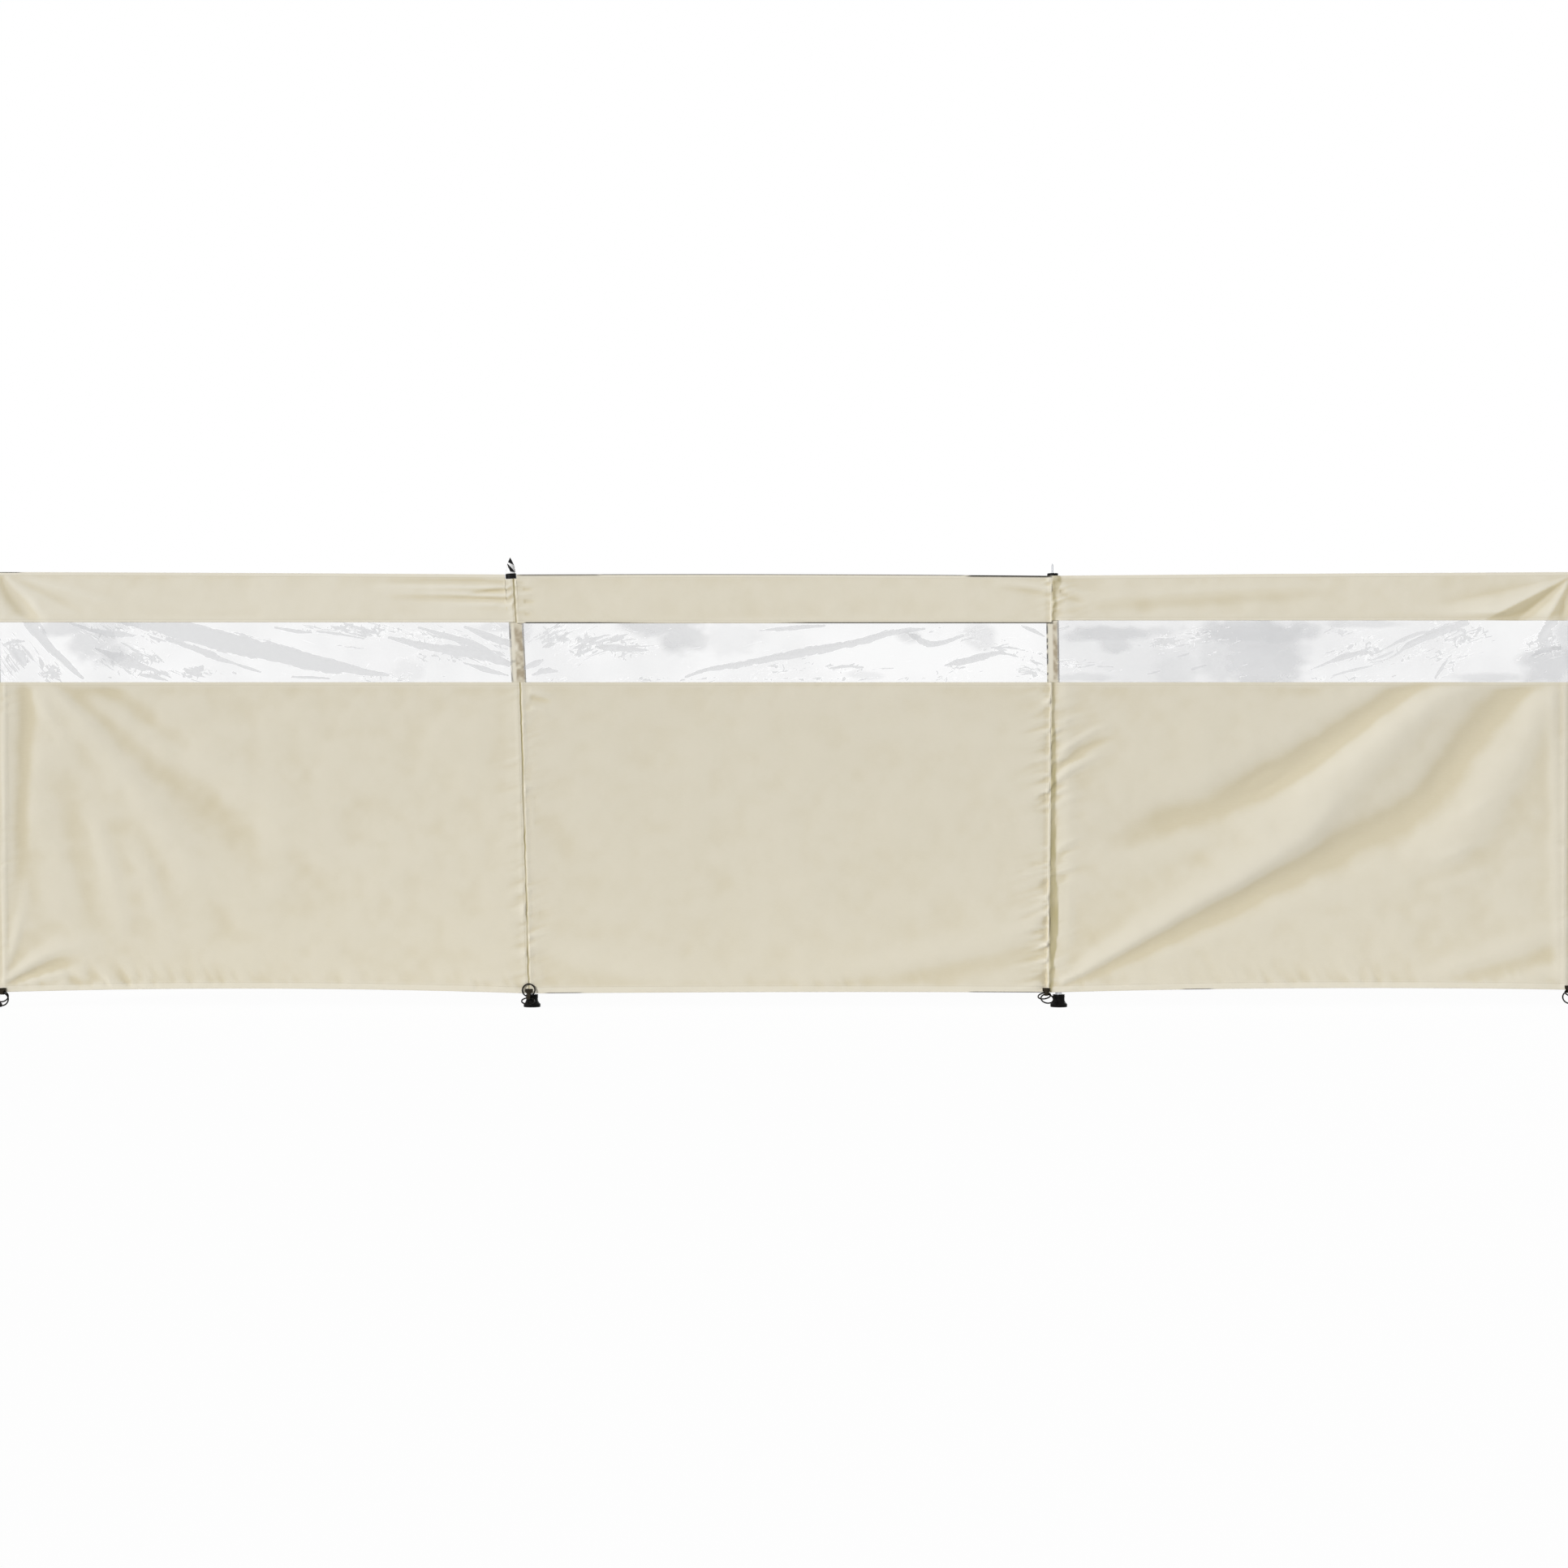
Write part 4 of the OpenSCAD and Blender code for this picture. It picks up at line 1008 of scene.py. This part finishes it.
for b in range(3):
    z0, z1 = WINDOW_Z0 - FILM_LAP, WINDOW_Z1[b] + FILM_LAP
    length, tall = FOOT_X[b + 1] - FOOT_X[b], z1 - z0
    columns = grid_lines(length, FILM_CELL[0], [1, 6, 12, length - 12, length - 6, length - 1]) / length
    marks = [1, FILM_LAP, FILM_LAP + 3, tall - FILM_LAP - 3, tall - FILM_LAP, tall - 1]
    u, v = np.meshgrid(columns, grid_lines(tall, FILM_CELL[1], marks) / tall, indexing="ij")
    z = mix(z0, z1, v)
    x = mix(sleeve_right(b, z) - FILM_SIDE_LAP, sleeve_left(b + 1, z) + FILM_SIDE_LAP, u)
    margin = np.minimum(z - WINDOW_Z0, WINDOW_Z1[b] - z)
    sides = np.minimum(x - x[:1], x[-1:] - x)
    free = smooth(-1, 22, margin) * smooth(FILM_SIDE_LAP, FILM_SIDE_LAP + 26, sides)
    # at its laps the film follows the cloth that it is sewn behind
    near_z = np.where(z < mix(WINDOW_Z0, WINDOW_Z1[b], 0.5), np.minimum(z, WINDOW_Z0 - 0.5),
                      np.maximum(z, WINDOW_Z1[b] + 0.5))
    carried = cloth_relief(x, near_z, b) * (1 - smooth(0, 26, margin))
    front = FILM_Y - (carried + free * (FILM_STAND + window_relief(x, z, b)) - FILM_BEHIND)
    window = closed_sheet(f"window_film_{b + 1}", np.stack([x, front, z], -1),
                          np.stack([x, front + FILM_T, z], -1), "clear_film")
    haze_and_reflection = np.zeros(x.shape)
    for off, half in streaks(x, z, b):
        haze_and_reflection = np.maximum(haze_and_reflection, np.clip(0.60 + (half - off) / np.clip(2.2 * half, 8, 34), 0, 1))
    paint(window, z.shape, {
        "haze_and_reflection": haze_and_reflection, "crumple": spread(x, z, CRUMPLES[b]), "cloud": spread(x, z, CLOUDS[b], 0.4),
        "veil": VEIL[b] * (1 - 0.45 * smooth(4190, 4225, x + 14 * noise_z(z, 60, 651))),
        "flow_u": x * MM, "flow_v": flow_height(x, z, b) * MM,
    })
    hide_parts(f"window_{b + 1}")


# ---------------- sleeves
ROUGH_FROM = [0.0, 3.0, -4.0, 0.0]  # right of here a sleeve is rough in the window and painted with brown shade; left of it, it is painted lighter
NEAR_CORNER = 0.07  # share of the way from a front corner to the next point


def wrap_angle(e):
    """The angle at which cloth that leaves a front corner, e beside the post, first touches its round."""
    return math.atan2(-SLEEVE_R, e) + math.acos(SLEEVE_R / math.hypot(e, SLEEVE_R))


def sleeve_outline(r, a, b):
    """A flat front at -r and a round back, as points in X and Y from left to right along the
    front and then back round the post. A point close behind each corner keeps the front's
    colours off the back."""
    left, right = -r * (1 + math.sin(a)) / math.cos(a), r * (1 + math.sin(b)) / math.cos(b)
    front = np.array([(x, -r) for x in np.linspace(left, right, 15)])
    back = np.array([(r * math.cos(t), r * math.sin(t)) for t in np.linspace(b, math.pi - a, 25)])
    near = mix(front[-1], back[0], NEAR_CORNER), mix(front[0], back[-1], NEAR_CORNER)
    return np.vstack([front, near[0], back, near[1]])


def leant(i, x, y, s):
    """Points at places across and behind post i and up along it."""
    cos, sin = math.cos(LEAN[i]), math.sin(LEAN[i])
    return np.stack([FOOT_X[i] + x * cos + s * sin, y + 0 * s, s * cos - x * sin], -1)


for i in range(4):
    wraps = wrap_angle(SLEEVE_W[i] / 2 + POST_SEAT[i]), wrap_angle(SLEEVE_W[i] / 2 - POST_SEAT[i])
    outer = sleeve_outline(SLEEVE_R, *wraps)
    inner = sleeve_outline(POCKET_R + 0.35, *wraps)
    rows = grid_lines(SLEEVE_S1 - SLEEVE_S0, SLEEVE_CELL, [2, 984, 1178, 1310]) + SLEEVE_S0
    shape = (len(outer), len(rows))
    s, across = np.broadcast_to(rows, shape), np.broadcast_to(outer[:, :1], shape)
    behind = np.broadcast_to(np.clip((outer[:, 1:] + SLEEVE_R) / SLEEVE_R, 0, 2), shape)
    around = np.broadcast_to(np.arange(len(outer))[:, None] * 3.0, shape)
    # creases: shallow round the tube, deeper where the cloth is free behind and in the window
    crease = 0.45 * noise(around, s, 24, 9, 701 + i) + 0.5 * noise(around + 0.8 * s, s, 18, 30, 711 + i)
    in_window = smooth(WINDOW_Z0 - 10, WINDOW_Z0 + 20, s) * (1 - smooth(1215, 1240, s))
    swell = smooth(0.02, 0.5, behind) * (1.1 + crease)
    front_part = 1 - smooth(0.0, 0.06, behind)
    rough_side = smooth(ROUGH_FROM[i] - 2, ROUGH_FROM[i] + 2, across)
    wave_in = 0.5 * noise(across, s, 12, 8, 721 + i) + 0.7 * noise(across + 0.6 * s, s, 10, 16, 731 + i)
    sink = front_part * in_window * rough_side * (-0.25 + 0.55 * wave_in)
    grow = 1 + np.where(behind > 0.02, swell * 0.055, 0)
    sleeve = closed_sheet(
        f"sleeve_cloth_{i + 1}",
        leant(i, outer[:, :1] * grow, outer[:, 1:] * grow - np.clip(sink, -0.35, 0.5) * front_part, s),
        leant(i, inner[:, :1] * grow, inner[:, 1:] * grow, s), "sleeve_cloth", closed_u=True)
    # painted shade on the sleeve's rough half in the window; painted light on its smooth half and on its
    # wrinkles' crests, and a painted highlight spot on the second sleeve
    painted_shade = in_window * front_part * rough_side
    painted_light = 0.6 * in_window * front_part * (1 - rough_side) + 0.4 * np.clip(sink, 0, 1)
    edge_l, edge_r = across - outer[:, 0].min(), outer[:, 0].max() - across
    # painted dark shadow lines along the sleeve's edges in the window, and across the second sleeve a line of
    # dark thread
    dark_line = np.zeros(shape)
    if i == 1:
        wavy = 4.0 + 2.0 * noise_z(s, 26, 741)
        dark_line = (1 - smooth(wavy, wavy + 1.6, edge_l)) * smooth(-0.2, 0.2, noise_z(s, 34, 742)) * 0.8
        dark_line = np.maximum(dark_line, 0.4 * bump(s, 1110, 2.0) * (1 - rough_side))
        highlight_spot = bump(across, ROUGH_FROM[i] + 3, 8) * bump(s, 1152, 12)
        painted_light, painted_shade = np.maximum(painted_light, highlight_spot), painted_shade * (1 - highlight_spot)
    if i == 2:
        dark_line = (1 - smooth(4.0, 5.5, edge_l)) * smooth(-0.25, 0.1, noise_z(s, 12, 743))
        dark_line = np.maximum(dark_line, 0.45 * (1 - smooth(1.5, 3.5, edge_r)))
    paint(sleeve, shape, {
        "valley_shade": np.clip(painted_shade * (0.75 + 0.8 * wave_in) + 0.10 * np.clip(-crease, 0, 1), 0, 1),
        "highlight_and_pale": painted_light, "hem": s - SLEEVE_S0 + 12, "top": SLEEVE_S1 - s + 2, "seam": NO_EDGE,
        "sill": NO_EDGE, "band": 0.0, "dark_line": dark_line * in_window * front_part, "painted_shade": 0.0, "tone": 0.0,
    })
    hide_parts(f"sleeve_{i + 1}")


# ---------------- webbing tabs
TAB_W, EYE_W, TAB_T, TAB_H = 24.0, 12.0, 1.2, 15.0
EYE_R = 6.6  # middle of the webbing that goes round the eye
TAB_SHIFT, EYE_DROP, EYE_OUT = [34, -9, -42, -35], [-1, 11, 3, 2], [0, 5.2, 0, 0]


def ribbon(points, widths, thick, x_mid, wobble):
    """Rounded webbing along points in Y and Z, as a closed mesh's vertices and faces."""
    p = np.array(points)
    tangent = np.gradient(p, axis=0)
    tangent /= np.linalg.norm(tangent, axis=1)[:, None]
    normal = np.stack([-tangent[:, 1], tangent[:, 0]], 1)
    share = np.array([-1, -0.9, -0.6, -0.2, 0.2, 0.6, 0.9, 1, 1, 0.9, 0.6, 0.2, -0.2, -0.6, -0.9, -1])
    side = np.array([0.35, 0.9, 1, 1, 1, 1, 0.9, 0.35, -0.35, -0.9, -1, -1, -1, -1, -0.9, -0.35])
    rings = []
    for k, (mid, n, w) in enumerate(zip(p, normal, widths)):
        lift = thick / 2 * side + wobble * math.sin(0.9 * k) * share ** 2
        rings.append(np.stack([x_mid + share * w / 2, mid[0] + n[0] * lift, mid[1] + n[1] * lift], 1))
    n, m = len(share), len(rings)
    faces = [(k * n + j, k * n + (j + 1) % n, (k + 1) * n + (j + 1) % n, (k + 1) * n + j)
             for k in range(m - 1) for j in range(n)]
    for base, turn in ((0, -1), ((m - 1) * n, 1)):
        cap = [(base + j, base + j + 1, base + n - 2 - j, base + n - 1 - j) for j in range(n // 2 - 1)]
        faces += [f[::turn] for f in cap]
    return np.vstack(rings), faces


def stitch(at, along_x):
    """One stitch, as a low eight-cornered bead lying on the webbing's front."""
    half_x, half_z = (1.1, 0.45) if along_x else (0.45, 1.1)
    ring = [(half_x * math.cos(t), half_z * math.sin(t)) for t in np.arange(8) * math.pi / 4]
    low = [(at[0] + u, at[1] + 0.25, at[2] + v) for u, v in ring]
    high = [(at[0] + 0.6 * u, at[1] - 0.35, at[2] + 0.6 * v) for u, v in ring]
    faces = [(j, (j + 1) % 8, 8 + (j + 1) % 8, 8 + j) for j in range(8)]
    return low + high, faces + [tuple(range(8, 16)), tuple(range(7, -1, -1))]


for i in range(4):
    x_mid = FOOT_X[i] + TAB_SHIFT[i]
    b = min(i, 2) if TAB_SHIFT[i] > -5 else max(i - 1, 0)  # the bay whose hem the tab is sewn to
    corner = GROUND_GAP + HEM_LIFT[i]
    eye = CLOTH_Y - EYE_OUT[i] - EYE_R - TAB_T / 2, corner - EYE_DROP[i]

    def cloth_front(z):
        """Just before the cloth over the tab's whole width."""
        x = np.linspace(x_mid - TAB_W / 2, x_mid + TAB_W / 2, 9)
        x = np.clip(x, seam_x(b, corner) + 1, seam_x(b + 1, corner) - 1)
        return CLOTH_Y - TAB_T / 2 - 0.1 - max(0.0, float(np.max(cloth_relief(x, x * 0 + z, b))))

    plate = [(cloth_front(max(z, corner + 1)), z) for z in np.linspace(corner + TAB_H, corner - 1, 9)]
    # the eye's webbing starts at its top where it stands out from the cloth, and else at its back
    if EYE_OUT[i]:
        turn = np.linspace(math.pi / 2, math.pi / 2 + math.radians(325), 34)
        plate = plate[:-1] + [(plate[-1][0] - 0.8, corner - 2.2), (plate[-1][0] - 2.4, corner - 3.6)]
    else:
        turn = np.linspace(0, -math.radians(318), 34)
        plate = [q for q in plate if q[1] > eye[1] + 1.5]
    points = plate + [(eye[0] + EYE_R * math.cos(t), eye[1] + EYE_R * math.sin(t)) for t in turn]
    widths = [mix(TAB_W, EYE_W, float(smooth(corner + 6, corner - 1, np.array(z)))) for _, z in plate]
    verts, faces = ribbon(points, widths + [EYE_W] * len(turn), TAB_T, x_mid, 0.12)
    verts = [tuple(v) for v in verts]
    sewn = [(x, z, True) for z in (corner + 12.5, corner + 5.5) for x in np.arange(-8.8, 9, 2.9)]
    sewn += [(x * 0.98, z, False) for x in (-10.2, 10.2) for z in np.arange(corner + 6.8, corner + 12, 2.2)]
    for x, z, along_x in sewn:
        more, corners = stitch((x_mid + x, cloth_front(z) - TAB_T / 2, z), along_x)
        faces += [tuple(j + len(verts) for j in f) for f in corners]
        verts += more
    tab = new_object(f"tab_webbing_{i + 1}", np.array(verts) * MM, faces, "webbing")
    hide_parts(f"tab_{i + 1}")


# ---------------- floor, light and background
FLOOR_HALF, FLOOR_X, FLOOR_Z = 14.0, 2.5, -0.0005
FLOOR_GLOW = 0.965  # how much of its white the camera sees as light of its own
AMBIENT = 0.32
LAMPS = [("sun", (-0.62, -0.70, 0.35), 0.540), ("fill", (0.50, 0.80, 0.16), 0.20)]  # from where, share
LAMP_WIDTH = math.radians(14)
WHITE = (1, 1, 1, 1)

floor_mesh = bpy.data.meshes.new("floor")
floor_mesh.from_pydata([(FLOOR_X + x * FLOOR_HALF, y * FLOOR_HALF, FLOOR_Z)
                        for x, y in ((-1, -1), (1, -1), (1, 1), (-1, 1))], [], [(0, 1, 2, 3)])
floor = bpy.data.objects.new("floor", floor_mesh)
SCENE.collection.objects.link(floor)

m = Material("floor")
m.set(color=(0.90, 0.90, 0.90, 1), rough=0.9, specular=0.1)
glow = m.add("ShaderNodeEmission", {"Color": WHITE, "Strength": 1.0})
share = m.times(m.seen(), FLOOR_GLOW)
both = m.add("ShaderNodeMixShader", {0: share, 1: m.bsdf.outputs[0], 2: glow.outputs[0]})
m.put(both.outputs[0], m.tree.nodes["Material Output"].inputs["Surface"])
floor_mesh.materials.append(m.material)

world = bpy.data.worlds.new("world")
SCENE.world = world
world.use_nodes = True
sky = Tree(world.node_tree)
level = sky.add("ShaderNodeMapRange", {"Value": sky.seen(), "To Min": AMBIENT, "To Max": 1.0})
background = sky.tree.nodes["Background"]
sky.put(level.outputs[0], background.inputs["Strength"])
sky.put(WHITE, background.inputs["Color"])

for name, toward, share in LAMPS:
    toward = np.array(toward) / np.linalg.norm(toward)
    lamp_data = bpy.data.lights.new(name, "SUN")
    lamp_data.energy = share * math.pi / abs(toward[1])
    lamp_data.angle = LAMP_WIDTH
    lamp = bpy.data.objects.new(name, lamp_data)
    SCENE.collection.objects.link(lamp)
    lamp.rotation_euler = (math.acos(toward[2]), 0, math.atan2(toward[0], -toward[1]))

SCENE.view_settings.view_transform = "Standard"
